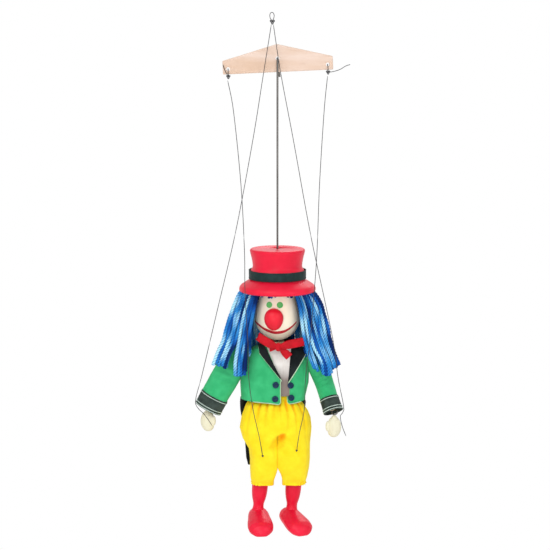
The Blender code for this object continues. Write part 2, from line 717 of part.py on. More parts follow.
def make_shoulder_pin(name, side, material):
    inner = side * (TORSO_HALF_WIDTH - SHOULDER_PIN_BITE + FIT_GAP)
    lean = math.radians(ARM_LEAN[name])
    arm_reach = ARM_RADIUS / math.cos(lean) + SHOULDER_PIN_HEAD * math.tan(lean)
    outer = side * (SHOULDER_X + max(SHOULDER_KNOB_RADIUS, arm_reach) + FIT_GAP)
    head_end = outer + side * SHOULDER_PIN_RADIUS
    pin = rod("shoulder_pin_" + name, (inner, 0, SHOULDER_Z), (head_end, 0, SHOULDER_Z), SHOULDER_PIN_RADIUS,
              material)
    head = rod("pin_head_" + name, (outer, 0, SHOULDER_Z), (head_end, 0, SHOULDER_Z), SHOULDER_PIN_HEAD)
    return fuse(pin, head)


def make_forked_limb(name, length, radius, knob_radius, tenon, pin_radius, material):
    """A limb hung by its knob, with a fork at its lower end that takes the next limb's tenon."""
    limb = rod(name, (0, 0, 0), (0, 0, -length), radius, material, ROUND_SIDES)
    knob = ellipsoid(name + "_knob", (0, 0, 0), (knob_radius,) * 3, rings=5)
    half_width = radius - FIT_GAP / 2
    knuckle = rod(name + "_knuckle", (-half_width, 0, -length), (half_width, 0, -length),
                  radius + FIT_GAP / 2, sides=ROUND_SIDES + 2)
    fuse(limb, knob, knuckle)
    half_slot = tenon / 2 + FIT_GAP
    slot_top = -length + radius + FIT_GAP
    slot = box(name + "_slot", (-half_slot, -2 * radius, -length - 2 * radius),
               (half_slot, 2 * radius, slot_top))
    hole = rod(name + "_pin_hole", (-2 * radius, 0, -length), (2 * radius, 0, -length), pin_radius + FIT_GAP)
    cut(limb, slot, hole)
    for helper in (knob, knuckle, slot, hole):
        helper.parent = limb
    return limb


def make_tenon(limb, radius, tenon, pin_radius, reach):
    """Add the tenon at a limb's upper end: a tongue round the pin, joined to the limb a reach below it."""
    name = limb.name
    tongue = rod(name + "_tongue", (-tenon / 2, 0, 0), (tenon / 2, 0, 0), radius, sides=ROUND_SIDES)
    web = box(name + "_web", (-tenon / 2, -radius, -reach - radius), (tenon / 2, radius, 0))
    hole = rod(name + "_tenon_hole", (-radius, 0, 0), (radius, 0, 0), pin_radius + FIT_GAP)
    fuse(limb, fuse(tongue, web))
    cut(limb, hole)
    for helper in (tongue, web, hole):
        helper.parent = limb
    return limb


def make_hinge_pin(name, radius, half_length, drop, material):
    return rod(name, (-half_length, 0, -drop), (half_length, 0, -drop), radius, material)


def make_forearm(name, material):
    reach = ARM_RADIUS + 2 * FIT_GAP
    forearm = rod(name, (0, 0, -reach), (0, 0, -FOREARM_LENGTH), ARM_RADIUS, material, ROUND_SIDES)
    make_tenon(forearm, ARM_RADIUS - FIT_GAP, ARM_TENON, ARM_PIN_RADIUS, reach)
    hole_top = -FOREARM_LENGTH + WRIST_SHANK + FIT_GAP
    hole = rod(name + "_eye_hole", (0, 0, hole_top), (0, 0, -2 * FOREARM_LENGTH), WRIST_WIRE_RADIUS + FIT_GAP)
    hole.parent = forearm
    return cut(forearm, hole)


def wrist_ring_drop():
    return FOREARM_LENGTH + WRIST_STEM + WRIST_RING_RADIUS


def make_wrist_eye(name, material):
    across, along = Vector((1, 0, 0)), Vector((0, 0, 1))
    centre = Vector((0, 0, -wrist_ring_drop()))
    shank_top = Vector((0, 0, -FOREARM_LENGTH + WRIST_SHANK))
    stem_end = centre + (WRIST_RING_RADIUS + WRIST_STEM) * along
    eye = ring_points(centre, WRIST_RING_RADIUS, across, along, *EYE_OPENING, EYE_POINTS)
    return wire(name, [shank_top, stem_end] + eye, WRIST_WIRE_RADIUS, material, 1)


def make_hand(name, side, material):
    """A mitten hand. Its tongue hangs in the wrist eye, whose lowest point is the frame's origin."""
    tongue_radius = HAND_TONGUE_HOLE + HAND_TONGUE / 2
    hand_top = -tongue_radius
    middle = hand_top - HAND_HEIGHT / 2
    hand = ellipsoid(name, (0, 0, middle), (HAND_WIDTH / 2, HAND_THICKNESS / 2, HAND_HEIGHT / 2), material, 7)
    thumb = ellipsoid(name + "_thumb", (-side * THUMB_OUT, -THUMB_FORWARD, middle),
                      (THUMB_WIDTH / 2, THUMB_THICKNESS / 2, THUMB_LENGTH / 2), rings=5)
    half = HAND_TONGUE / 2
    tongue = rod(name + "_tongue", (-half, 0, 0), (half, 0, 0), tongue_radius)
    web = box(name + "_web", (-half, -tongue_radius, middle), (half, tongue_radius, 0))
    hole = rod(name + "_hole", (-HAND_WIDTH, 0, 0), (HAND_WIDTH, 0, 0), HAND_TONGUE_HOLE)
    fuse(hand, thumb, fuse(tongue, web))
    cut(hand, hole)
    for helper in (thumb, tongue, web, hole):
        helper.parent = hand
    return hand


def make_hip_axle(material):
    half = HIP_X + HIP_KNOB_RADIUS + FIT_GAP
    return rod("hip_axle", (-half, 0, HIP_Z), (half, 0, HIP_Z), HIP_AXLE_RADIUS, material)


def make_lower_leg(name, material):
    """The turned lower leg: tenon, calf, ankle and the peg that the shoe is glued on."""
    reach = THIGH_RADIUS + 2 * FIT_GAP
    profile = [(0.0, -reach), (THIGH_RADIUS, -reach)]
    calf_z = -CALF_DROP
    for step in range(1, 4):
        share = step / 3
        profile.append((ease(THIGH_RADIUS, CALF_RADIUS, share), -reach + (calf_z + reach) * share))
    for step in range(1, 6):
        share = step / 5
        profile.append((ease(CALF_RADIUS, ANKLE_RADIUS, share), calf_z + (-SHIN_LENGTH - calf_z) * share))
    peg_end = -SHIN_LENGTH - ANKLE_PEG
    profile += [(ANKLE_PEG_RADIUS, -SHIN_LENGTH), (ANKLE_PEG_RADIUS, peg_end), (0.0, peg_end)]
    leg = turned(name, profile, material, ROUND_SIDES)
    return make_tenon(leg, THIGH_RADIUS - FIT_GAP, LEG_TENON, LEG_PIN_RADIUS, reach)


SHOE_SHAPE = [(0.00, 0.22, 0.40), (0.04, 0.52, 0.78), (0.14, 0.66, 0.95), (0.26, 0.68, 1.00),
              (0.40, 0.76, 1.00), (0.55, 0.92, 1.00), (0.70, 1.00, 1.00), (0.84, 0.94, 0.92),
              (0.94, 0.68, 0.72), (1.00, 0.24, 0.40)]
SHOE_POWER = 2.3
SHOE_LIFT = 0.35
SHOE_COLLAR_FLARE = 1.4


def make_shoe(name, material):
    """A bulbous shoe, lofted from heel to toe. Its frame's origin is at the ankle's end."""
    slope = math.tan(math.radians(SHOE_DROOP))
    rings = []
    for share, width, height in SHOE_SHAPE:
        y = SHOE_HEEL_BACK - share * SHOE_LENGTH
        half_height = height * SHOE_HEIGHT / 2
        lift = SHOE_LIFT * (1 - height) * SHOE_HEIGHT
        middle = -SHOE_ANKLE_HEIGHT + half_height + lift + y * slope
        half_width = width * SHOE_WIDTH / 2
        level = oval_ring((0, 0, 0), half_width, half_height, ROUND_SIDES, SHOE_POWER)
        rings.append([(x, y, middle + z) for x, z, unused in level])
    shoe = loft(name, rings, material)
    top = ANKLE_RADIUS + ANKLE_COLLAR
    low = -SHOE_ANKLE_HEIGHT + SHOE_HEIGHT / 2
    collar = rod(name + "_collar", (0, 0, low), (0, 0, -FIT_GAP), SHOE_COLLAR_FLARE * top, None,
                 ROUND_SIDES, top)
    bore = rod(name + "_bore", (0, 0, -ANKLE_PEG - FIT_GAP), (0, 0, SHOE_HEIGHT), ANKLE_PEG_RADIUS + FIT_GAP)
    fuse(shoe, collar)
    cut(shoe, bore)
    collar.parent = shoe
    bore.parent = shoe
    return shoe


# Clothes

JACKET_SHAPE = [(0.00, 0.45, 0.68), (0.05, 0.71, 0.84), (0.135, 0.82, 0.92), (0.26, 0.92, 0.95),
                (0.47, 0.975, 0.985), (0.74, 1.0, 1.0), (1.0, 1.04, 1.02)]
JACKET_POWER = 2.4
JACKET_SIDES = 32


def jacket_sections():
    return [(COLLAR_Z - drop * JACKET_LENGTH, width * JACKET_HALF_WIDTH, depth * JACKET_HALF_DEPTH)
            for drop, width, depth in JACKET_SHAPE]


def jacket_volume(name, extra, material=None, reach=0.0):
    sections = grown(jacket_sections(), extra)
    if reach:
        sections = stretched(sections, reach)
    return oval_solid(name, sections, JACKET_SIDES, material, JACKET_POWER)


def jacket_front(x, z):
    """How far forward the jacket's front stands at a place, as a Y coordinate."""
    sections = jacket_sections()
    for upper, lower in zip(sections, sections[1:]):
        if lower[0] <= z <= upper[0]:
            share = (upper[0] - z) / (upper[0] - lower[0])
            half_width = upper[1] + (lower[1] - upper[1]) * share
            half_depth = upper[2] + (lower[2] - upper[2]) * share
            return -half_depth * (1 - abs(x / half_width) ** JACKET_POWER) ** (1 / JACKET_POWER)
    return -JACKET_HALF_DEPTH


def front_outline():
    """The jacket's front opening: a V to the upper button, then a narrow gap to the hem."""
    top = COLLAR_Z + JACKET_LENGTH
    low = JACKET_HEM_Z - JACKET_LENGTH
    left, right = FRONT_SHIFT - FRONT_GAP / 2, FRONT_SHIFT + FRONT_GAP / 2
    left_top, right_top = -LAPEL_INNER_X["left"], LAPEL_INNER_X["right"]
    return [(left_top, top), (left_top, COLLAR_Z), (left, LAPEL_END_Z), (left, low), (right, low),
            (right, LAPEL_END_Z), (right_top, COLLAR_Z), (right_top, top)]


def make_jacket(arm_frames, material):
    jacket = jacket_volume("jacket", 0.0, material)
    inside = jacket_volume("jacket_inside", -CLOTH, None, JACKET_LENGTH)
    opening = flat_plate("jacket_front_opening", front_outline(), -2 * JACKET_HALF_DEPTH,
                         -TORSO_HALF_DEPTH / 2)
    cut(jacket, inside, opening)
    for side, frame in arm_frames.items():
        half_width, half_depth = SLEEVE_HALF_WIDTH[side] - CLOTH, SLEEVE_HALF_DEPTH - CLOTH
        sections = [(UPPER_ARM_LENGTH / 4, half_width, half_depth),
                    (-UPPER_ARM_LENGTH, half_width, half_depth)]
        armhole = oval_solid("armhole_" + side, sections, ROUND_SIDES)
        armhole.parent = frame
        cut(jacket, armhole)
    return jacket


def make_lapel(where, side, material):
    """A dark facing laid on the jacket beside the V, from a square corner at the chest to the V's end."""
    name = "lapel_" + where
    inner_end = FRONT_SHIFT + side * FRONT_GAP / 2
    inner = side * LAPEL_INNER_X[where]
    outer = side * LAPEL_OUTER_X[where]
    outline = [(inner, COLLAR_Z), (outer, COLLAR_Z), (outer, COLLAR_Z - LAPEL_CORNER_DROP[where]),
               (inner_end + side * LAPEL_TIP, LAPEL_END_Z - LAPEL_TIP), (inner_end, LAPEL_END_Z - LAPEL_TIP),
               (inner_end, LAPEL_END_Z)]
    lapel = jacket_volume(name, FIT_GAP + LAPEL_THICKNESS, material)
    prism = flat_plate(name + "_outline", outline, -2 * JACKET_HALF_DEPTH, -TORSO_HALF_DEPTH / 4)
    combine(lapel, prism, "INTERSECT")
    return cut(lapel, jacket_volume(name + "_seat", FIT_GAP, None, JACKET_LENGTH))


def make_shirt_front(material):
    top = COLLAR_Z - SHIRT_TOP_DROP
    bottom = WAIST_Z + CLOTH
    outline = [(-SHIRT_HALF_WIDTH, top), (SHIRT_HALF_WIDTH, top), (SHIRT_HALF_WIDTH, bottom),
               (-SHIRT_HALF_WIDTH, bottom)]
    shirt = jacket_volume("shirt_front", -CLOTH - FIT_GAP, material)
    prism = flat_plate("shirt_outline", outline, -2 * JACKET_HALF_DEPTH, -TORSO_HALF_DEPTH / 2)
    combine(shirt, prism, "INTERSECT")
    return cut(shirt, jacket_volume("shirt_inside", -CLOTH - FIT_GAP - SHIRT_THICKNESS, None, CLOTH))


def button_levels():
    """The upper buttons sit just under the lapels' ends, and the lower ones just above the hem."""
    upper = LAPEL_END_Z - LAPEL_TIP - BUTTON_CLEAR - BUTTON_RADIUS
    return {"upper": upper, "lower": JACKET_HEM_Z + BUTTON_LOWER_RISE}


def make_button(name, x, z, material):
    step = BUTTON_RADIUS / 2
    slope = (jacket_front(x + step, z) - jacket_front(x - step, z)) / (2 * step)
    out = Vector((slope, -1.0, 0.0)).normalized()
    seat = Vector((x, jacket_front(x, z), z)) + 2 * FIT_GAP * out
    button = rod(name, seat, seat + BUTTON_THICKNESS * out, BUTTON_RADIUS, material)
    rim = button.modifiers.new("rim", "BEVEL")
    rim.width = BUTTON_THICKNESS / 4
    rim.segments = 1
    return button


BOW_LOOP_SHAPE = [(0.0, 0.30, 0.5), (0.30, 0.70, 0.9), (0.65, 1.0, 1.0), (0.92, 0.90, 0.7), (1.0, 0.72, 0.4)]
BOW_ENDS = {"left": ((-0.92, 0.0, 0.38), 1.0, 1.0), "right": ((1.0, 0.04, 0.13), 0.96, 0.94),
            "tail": ((0.45, 0.06, -0.45), 0.7, 0.5)}
BOW_KNOT_RADII = (0.40 * BOW_HEIGHT, 0.60 * BOW_THICKNESS, 0.45 * BOW_HEIGHT)
BOW_LOOP_SIDES = 10
BOW_ROOT_SHARE = 0.1


def make_bow_loop(name, knot, tip, height, thickness):
    """One loop of the bow, lofted from the knot out to its tip."""
    along = (tip - knot).normalized()
    upward = along.cross(Vector((0, 1, 0))).normalized()
    rings = []
    for share, high, deep in BOW_LOOP_SHAPE:
        centre = knot.lerp(tip, share)
        level = oval_ring((0, 0, 0), high * height / 2, deep * thickness / 2, BOW_LOOP_SIDES)
        rings.append([centre + upward * x + Vector((0, y, 0)) for x, y, unused in level])
    return loft(name, rings)


def make_bow_tie(material):
    """The bow under the chin. It hangs askew: one loop up, one nearly level, and a tail."""
    middle = Vector((0.0, -JACKET_HALF_DEPTH - BOW_THICKNESS / 2, NECK_TOP_Z - BOW_DROP))
    bow = ellipsoid("bow_tie", middle, BOW_KNOT_RADII, material, 7)
    for name, (direction, height, thickness) in BOW_ENDS.items():
        reach = BOW_LOOP_LENGTH * Vector(direction)
        loop = make_bow_loop("bow_" + name, middle + BOW_ROOT_SHARE * reach, middle + reach,
                             height * BOW_HEIGHT, thickness * BOW_THICKNESS)
        fuse(bow, loop)
    return bow


def make_tube(name, frame, sections, material, capped=False):
    """A cloth tube round a limb, modelled in the limb's frame. Its top is closed only where it is capped."""
    tube = oval_solid(name, sections, ROUND_SIDES + 4, material)
    hollow = stretched(grown(sections, -CLOTH), CLOTH)
    if capped:
        hollow = hollow[1:]
        hollow[0] = (hollow[0][0] - CLOTH, *hollow[0][1:])
    inside = oval_solid(name + "_inside", hollow, ROUND_SIDES + 4)
    tube.parent = frame
    inside.parent = frame
    return cut(tube, inside)


def crease(share, count):
    """The in and out of a sleeve's creases along its length."""
    return SLEEVE_CREASE * math.sin(2 * math.pi * count * share)


def sleeve_mitre(side):
    """How far each half of a sleeve stops short of its bent elbow."""
    return SLEEVE_HALF_DEPTH * math.tan(math.radians(ELBOW_BEND[side]) / 2) + FIT_GAP


SLEEVE_CAP_SHAPE = [(1.0, 0.6), (0.6, 0.9)]


def make_upper_sleeve(side, frame, material):
    """The sleeve from its domed shoulder cap to the elbow, cut where it meets the jacket."""
    half_width = SLEEVE_HALF_WIDTH[side]
    top = SHOULDER_KNOB_RADIUS + CLOTH + 2 * FIT_GAP
    end = -UPPER_ARM_LENGTH + sleeve_mitre(side)
    sections = [(rise * top, size * half_width, size * SLEEVE_HALF_DEPTH) for rise, size in SLEEVE_CAP_SHAPE]
    for step in range(6):
        share = step / 5
        puff = crease(share, 1.5)
        sections.append((end * share, half_width + puff, SLEEVE_HALF_DEPTH + puff))
    sleeve = make_tube("sleeve_upper_" + side, frame, sections, material, True)
    return cut(sleeve, jacket_volume("sleeve_seat_" + side, FIT_GAP))


def make_lower_sleeve(side, frame, material):
    top = -sleeve_mitre(side)
    end = -FOREARM_LENGTH - WRIST_STEM + CUFF_LENGTH + FIT_GAP
    sections = []
    for step in range(6):
        share = step / 5
        puff = crease(share, 1.0)
        sections.append((top + (end - top) * share, SLEEVE_HALF_WIDTH[side] + puff, SLEEVE_HALF_DEPTH + puff))
    return make_tube("sleeve_lower_" + side, frame, sections, material)


def make_cuff(side, frame, material):
    low = -FOREARM_LENGTH - WRIST_STEM
    half_width, half_depth = SLEEVE_HALF_WIDTH[side] + CUFF_EXTRA, SLEEVE_HALF_DEPTH + CUFF_EXTRA
    sections = [(low + CUFF_LENGTH, half_width, half_depth), (low, half_width, half_depth)]
    return make_tube("cuff_" + side, frame, sections, material)


TAIL_SHAPE = [(0.0, 0.0, 0.0), (0.10, 0.30, 0.0010), (0.22, 0.62, 0.0014), (0.40, 1.0, 0.0010),
              (0.70, 1.0, 0.0), (1.0, 0.92, 0.0)]
TAIL_POINTS = 11
TAIL_INNER_TAPER = 0.0084
TAIL_OUTER_TAPER = 0.0039
TAIL_WAVES = 1.5
TAIL_TOP_FOLD = 0.3


def make_tail(name, side, material):
    """A coat tail: a folded sheet that hangs from the hem's curve, out round the seat of the trousers."""
    rings = []
    far_y = TROUSER_HALF_DEPTH + TROUSER_FOLD_DEPTH + 2 * CLOTH
    for drop, out, spread in TAIL_SHAPE:
        z = JACKET_HEM_Z - FIT_GAP - drop * TAIL_LENGTH
        inner_x = TAIL_SPLIT / 2 + TAIL_INNER_TAPER * drop
        outer_x = TAIL_SPLIT / 2 + TAIL_WIDTH + spread - TAIL_OUTER_TAPER * drop
        sheet = []
        for index in range(TAIL_POINTS):
            share = index / (TAIL_POINTS - 1)
            near_x = TAIL_SPLIT / 2 + TAIL_WIDTH * share
            near_y = -jacket_front(near_x, JACKET_HEM_Z + FIT_GAP)
            wave = (1 + math.sin(2 * math.pi * TAIL_WAVES * share)) / 2
            x = side * (inner_x + (outer_x - inner_x) * share)
            sheet.append((x, near_y + (far_y - near_y) * out + TAIL_FOLD * (TAIL_TOP_FOLD + drop) * wave))
        front = [(x, y, z) for x, y in sheet]
        back = [(x, y + CLOTH, z) for x, y in reversed(sheet)]
        rings.append(front + back)
    return loft(name, rings, material)


SEAT_SHAPE = [(0.00, 0.70, 0.58), (0.05, 0.72, 0.66), (0.10, 0.82, 0.80), (0.20, 0.95, 0.94),
              (0.34, 0.99, 1.00), (0.44, 0.93, 0.98), (0.52, 0.80, 0.86), (0.58, 0.60, 0.62),
              (0.60, 0.42, 0.38)]
SEAT_POWER = 2.2
LEG_SHAPE = [(0.30, 0.96, 0.93), (0.45, 1.00, 0.98), (0.62, 0.98, 0.94), (0.80, 0.89, 0.80),
             (0.92, 0.72, 0.58)]
LEG_POWER = 2.0
HEM_GATHER = 0.965
FOLD_TURN = 0.6


def leg_rings(name, shrink, ripple, reach, sides):
    """A trouser leg from the seat to its gathered hem round the leg, or the space inside it."""
    top_x = TROUSER_LEG_HALF_WIDTH
    hem_x = HIP_X + (HIP_Z - TROUSER_HEM_Z) * math.tan(math.radians(LEG_LEAN[name]))
    sizes = [(drop, width * TROUSER_LEG_HALF_WIDTH, depth * TROUSER_HALF_DEPTH)
             for drop, width, depth in LEG_SHAPE]
    sizes += [(HEM_GATHER, HEM_RADIUS, HEM_RADIUS), (1.0, HEM_RADIUS + CLOTH / 3, HEM_RADIUS + CLOTH / 3)]
    rings = []
    for step, (drop, half_width, half_depth) in enumerate(sizes):
        x = SIDES[name] * (top_x + (hem_x - top_x) * drop)
        extra = -reach if drop == 1.0 else 0.0
        centre = (x, 0.0, WAIST_Z - drop * TROUSER_LENGTH + extra)
        rings.append(oval_ring(centre, half_width - shrink, half_depth - shrink, sides, LEG_POWER, ripple,
                               TROUSER_FOLDS, FOLD_TURN * step))
    return rings


def seat_rings(shrink, ripple, reach, sides):
    rings = []
    last = SEAT_SHAPE[-1][0]
    for step, (drop, width, depth) in enumerate(SEAT_SHAPE):
        z = WAIST_Z - drop * TROUSER_LENGTH
        if drop == 0.0:
            z += reach
        if drop == last:
            z += shrink
        half_width = width * TROUSER_HALF_WIDTH - shrink
        half_depth = depth * TROUSER_HALF_DEPTH - shrink
        rings.append(oval_ring((0.0, 0.0, z), half_width, half_depth, sides, SEAT_POWER, ripple,
                               2 * TROUSER_FOLDS, FOLD_TURN * step))
    return rings


def make_trousers(material):
    """Puffy trousers, gathered at the waist and hems, hollow all the way through."""
    ripple = TROUSER_FOLD_DEPTH
    trousers = loft("trousers", seat_rings(0.0, ripple, 0.0, 4 * TROUSER_FOLDS), material)
    shrink = CLOTH + ripple
    inside = loft("trousers_inside", seat_rings(shrink, 0.0, CLOTH, ROUND_SIDES + 4))
    for name in SIDES:
        fuse(trousers, loft("trouser_leg_" + name, leg_rings(name, 0.0, ripple, 0.0, 3 * TROUSER_FOLDS)))
        fuse(inside, loft("trouser_leg_inside_" + name, leg_rings(name, shrink, 0.0, CLOTH, ROUND_SIDES)))
    return cut(trousers, inside)


# Assembly

def make_arm(name, side, torso_frame, paints):
    place = (side * SHOULDER_X, 0.0, SHOULDER_Z - NECK_LINK_Z)
    upper = add_empty("upper_arm_frame_" + name, torso_frame, place, (0.0, -side * ARM_LEAN[name], 0.0))
    fore = add_empty("forearm_frame_" + name, upper, (0, 0, -UPPER_ARM_LENGTH), (-ELBOW_BEND[name], 0.0, 0.0))
    arm = make_forked_limb("upper_arm_" + name, UPPER_ARM_LENGTH, ARM_RADIUS, SHOULDER_KNOB_RADIUS, ARM_TENON,
                           ARM_PIN_RADIUS, paints["wood"])
    arm.parent = upper
    reach = SHOULDER_X + 2 * SHOULDER_KNOB_RADIUS
    cut(arm, rod("arm_pin_hole_" + name, (0, 0, SHOULDER_Z), (side * reach, 0, SHOULDER_Z),
                 SHOULDER_PIN_RADIUS + FIT_GAP))
    ride(make_shoulder_pin(name, side, paints["steel"]), torso_frame)
    make_hinge_pin("elbow_pin_" + name, ARM_PIN_RADIUS, ARM_RADIUS - FIT_GAP, UPPER_ARM_LENGTH,
                   paints["steel"]).parent = upper
    make_forearm("forearm_" + name, paints["wood"]).parent = fore
    make_wrist_eye("wrist_eye_" + name, paints["steel"]).parent = fore
    make_upper_sleeve(name, upper, paints["green"])
    make_lower_sleeve(name, fore, paints["green"])
    make_cuff(name, fore, paints["black"])
    turn = fore.matrix_world.to_3x3()
    normal = turn @ Vector((0, 1, 0))
    axis = normal.cross(Vector((0, 0, 1))).normalized()
    low = normal.cross(axis)
    hinge = fore.matrix_world @ Vector((0, 0, -wrist_ring_drop())) + WRIST_RING_RADIUS * low
    hand_frame = add_empty("hand_frame_" + name, fore)
    hand_frame.matrix_world = Matrix.Translation(hinge) @ Matrix.Rotation(math.atan2(axis.y, axis.x), 4, "Z")
    make_hand("hand_" + name, side, paints["wood"]).parent = hand_frame
    return upper


def make_leg(name, side, torso_frame, paints):
    place = (side * HIP_X, 0.0, HIP_Z - NECK_LINK_Z)
    upper = add_empty("thigh_frame_" + name, torso_frame, place, (0.0, -side * LEG_LEAN[name], 0.0))
    lower = add_empty("lower_leg_frame_" + name, upper, (0, 0, -THIGH_LENGTH))
    foot = add_empty("shoe_frame_" + name, lower, (0, 0, -SHIN_LENGTH), (0.0, 0.0, SHOE_YAW[name]))
    thigh = make_forked_limb("thigh_" + name, THIGH_LENGTH, THIGH_RADIUS, HIP_KNOB_RADIUS, LEG_TENON,
                             LEG_PIN_RADIUS, paints["wood"])
    thigh.parent = upper
    hole = rod("thigh_axle_hole_" + name, (0, 0, HIP_Z), (side * 2 * HIP_X, 0, HIP_Z),
               HIP_AXLE_RADIUS + FIT_GAP)
    cut(thigh, hole)
    make_hinge_pin("knee_pin_" + name, LEG_PIN_RADIUS, THIGH_RADIUS - FIT_GAP, THIGH_LENGTH,
                   paints["steel"]).parent = upper
    make_lower_leg("lower_leg_" + name, paints["red"]).parent = lower
    make_shoe("shoe_" + name, paints["red"]).parent = foot


def make_paints():
    return {
        "plywood": paint("plywood", (0.80, 0.63, 0.42), 0.55),
        "wood": paint("pale_wood", (0.82, 0.68, 0.50), 0.50),
        "steel": paint("wire_steel", (0.16, 0.14, 0.13), 0.40, 0.9),
        "thread": paint("thread", (0.05, 0.05, 0.06), 0.85),
        "red": paint("red_lacquer", (0.72, 0.03, 0.05), 0.35),
        "ribbon": paint("red_ribbon", (0.75, 0.03, 0.05), 0.60),
        "band": paint("dark_band", (0.02, 0.05, 0.04), 0.70),
        "blue": paint("blue_yarn", (0.05, 0.22, 0.70), 0.90),
        "green": paint("green_cloth", (0.02, 0.36, 0.14), 0.85),
        "black": paint("black_cloth", (0.03, 0.03, 0.04), 0.85),
        "white": paint("white_cloth", (0.86, 0.85, 0.82), 0.85),
        "navy": paint("navy_button", (0.03, 0.05, 0.22), 0.40),
        "yellow": paint("yellow_cloth", (0.95, 0.70, 0.02), 0.85),
    }


def build():
    paints = make_paints()
    bar_frame = add_empty("bar_frame", None)
    head_frame = add_empty("head_frame", bar_frame)
    torso_frame = add_empty("torso_frame", head_frame, (0.0, 0.0, NECK_LINK_Z))
    make_control_bar(paints["plywood"]).parent = bar_frame
    for name, side in SIDES.items():
        ride(make_bar_knot("bar_knot_" + name, side, paints["thread"]), bar_frame)
        ride(make_string("leg_string_" + name, LEG_STRING_ROUTES[name], paints["thread"]), head_frame)
        ride(make_string("hand_string_" + name, HAND_STRING_ROUTES[name], paints["thread"]), head_frame)
    ride(make_hand_knot(paints["thread"]), head_frame)
    ride(make_head_wire(paints["steel"]), head_frame)
    ride(make_hat(paints["red"]), head_frame)
    ride(make_hat_band(paints["band"]), head_frame)
    ride(make_head(paints["wood"]), head_frame)
    ride(make_nose(paints["red"]), head_frame)
    for where in HAIR_ROUTES:
        ride(make_hair(where, paints["blue"]), head_frame)
    ride(make_neck_eye(paints["steel"]), torso_frame)
    ride(make_torso(paints["wood"]), torso_frame)
    arms = {}
    for name, side in SIDES.items():
        arms[name] = make_arm(name, side, torso_frame, paints)
        make_leg(name, side, torso_frame, paints)
    ride(make_hip_axle(paints["steel"]), torso_frame)
    ride(make_jacket(arms, paints["green"]), torso_frame)
    ride(make_shirt_front(paints["white"]), torso_frame)
    ride(make_bow_tie(paints["ribbon"]), torso_frame)
    ride(make_trousers(paints["yellow"]), torso_frame)
    for name, side in SIDES.items():
        ride(make_lapel(name, side, paints["black"]), torso_frame)
        ride(make_tail("tail_" + name, side, paints["black"]), torso_frame)
        for row, height in button_levels().items():
            x = FRONT_SHIFT + side * BUTTON_SPREAD
            ride(make_button(f"button_{row}_{name}", x, height, paints["navy"]), torso_frame)
    bpy.context.view_layer.update()


clear_scene()
PARTS = new_collection("clown_marionette")
CUTTERS = new_collection("cutters")
build()
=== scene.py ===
"""Looks of the clown marionette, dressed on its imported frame.

Units are metres. The puppet faces -Y, and left means the viewer's left, -X.
"""
import json
import math
import random

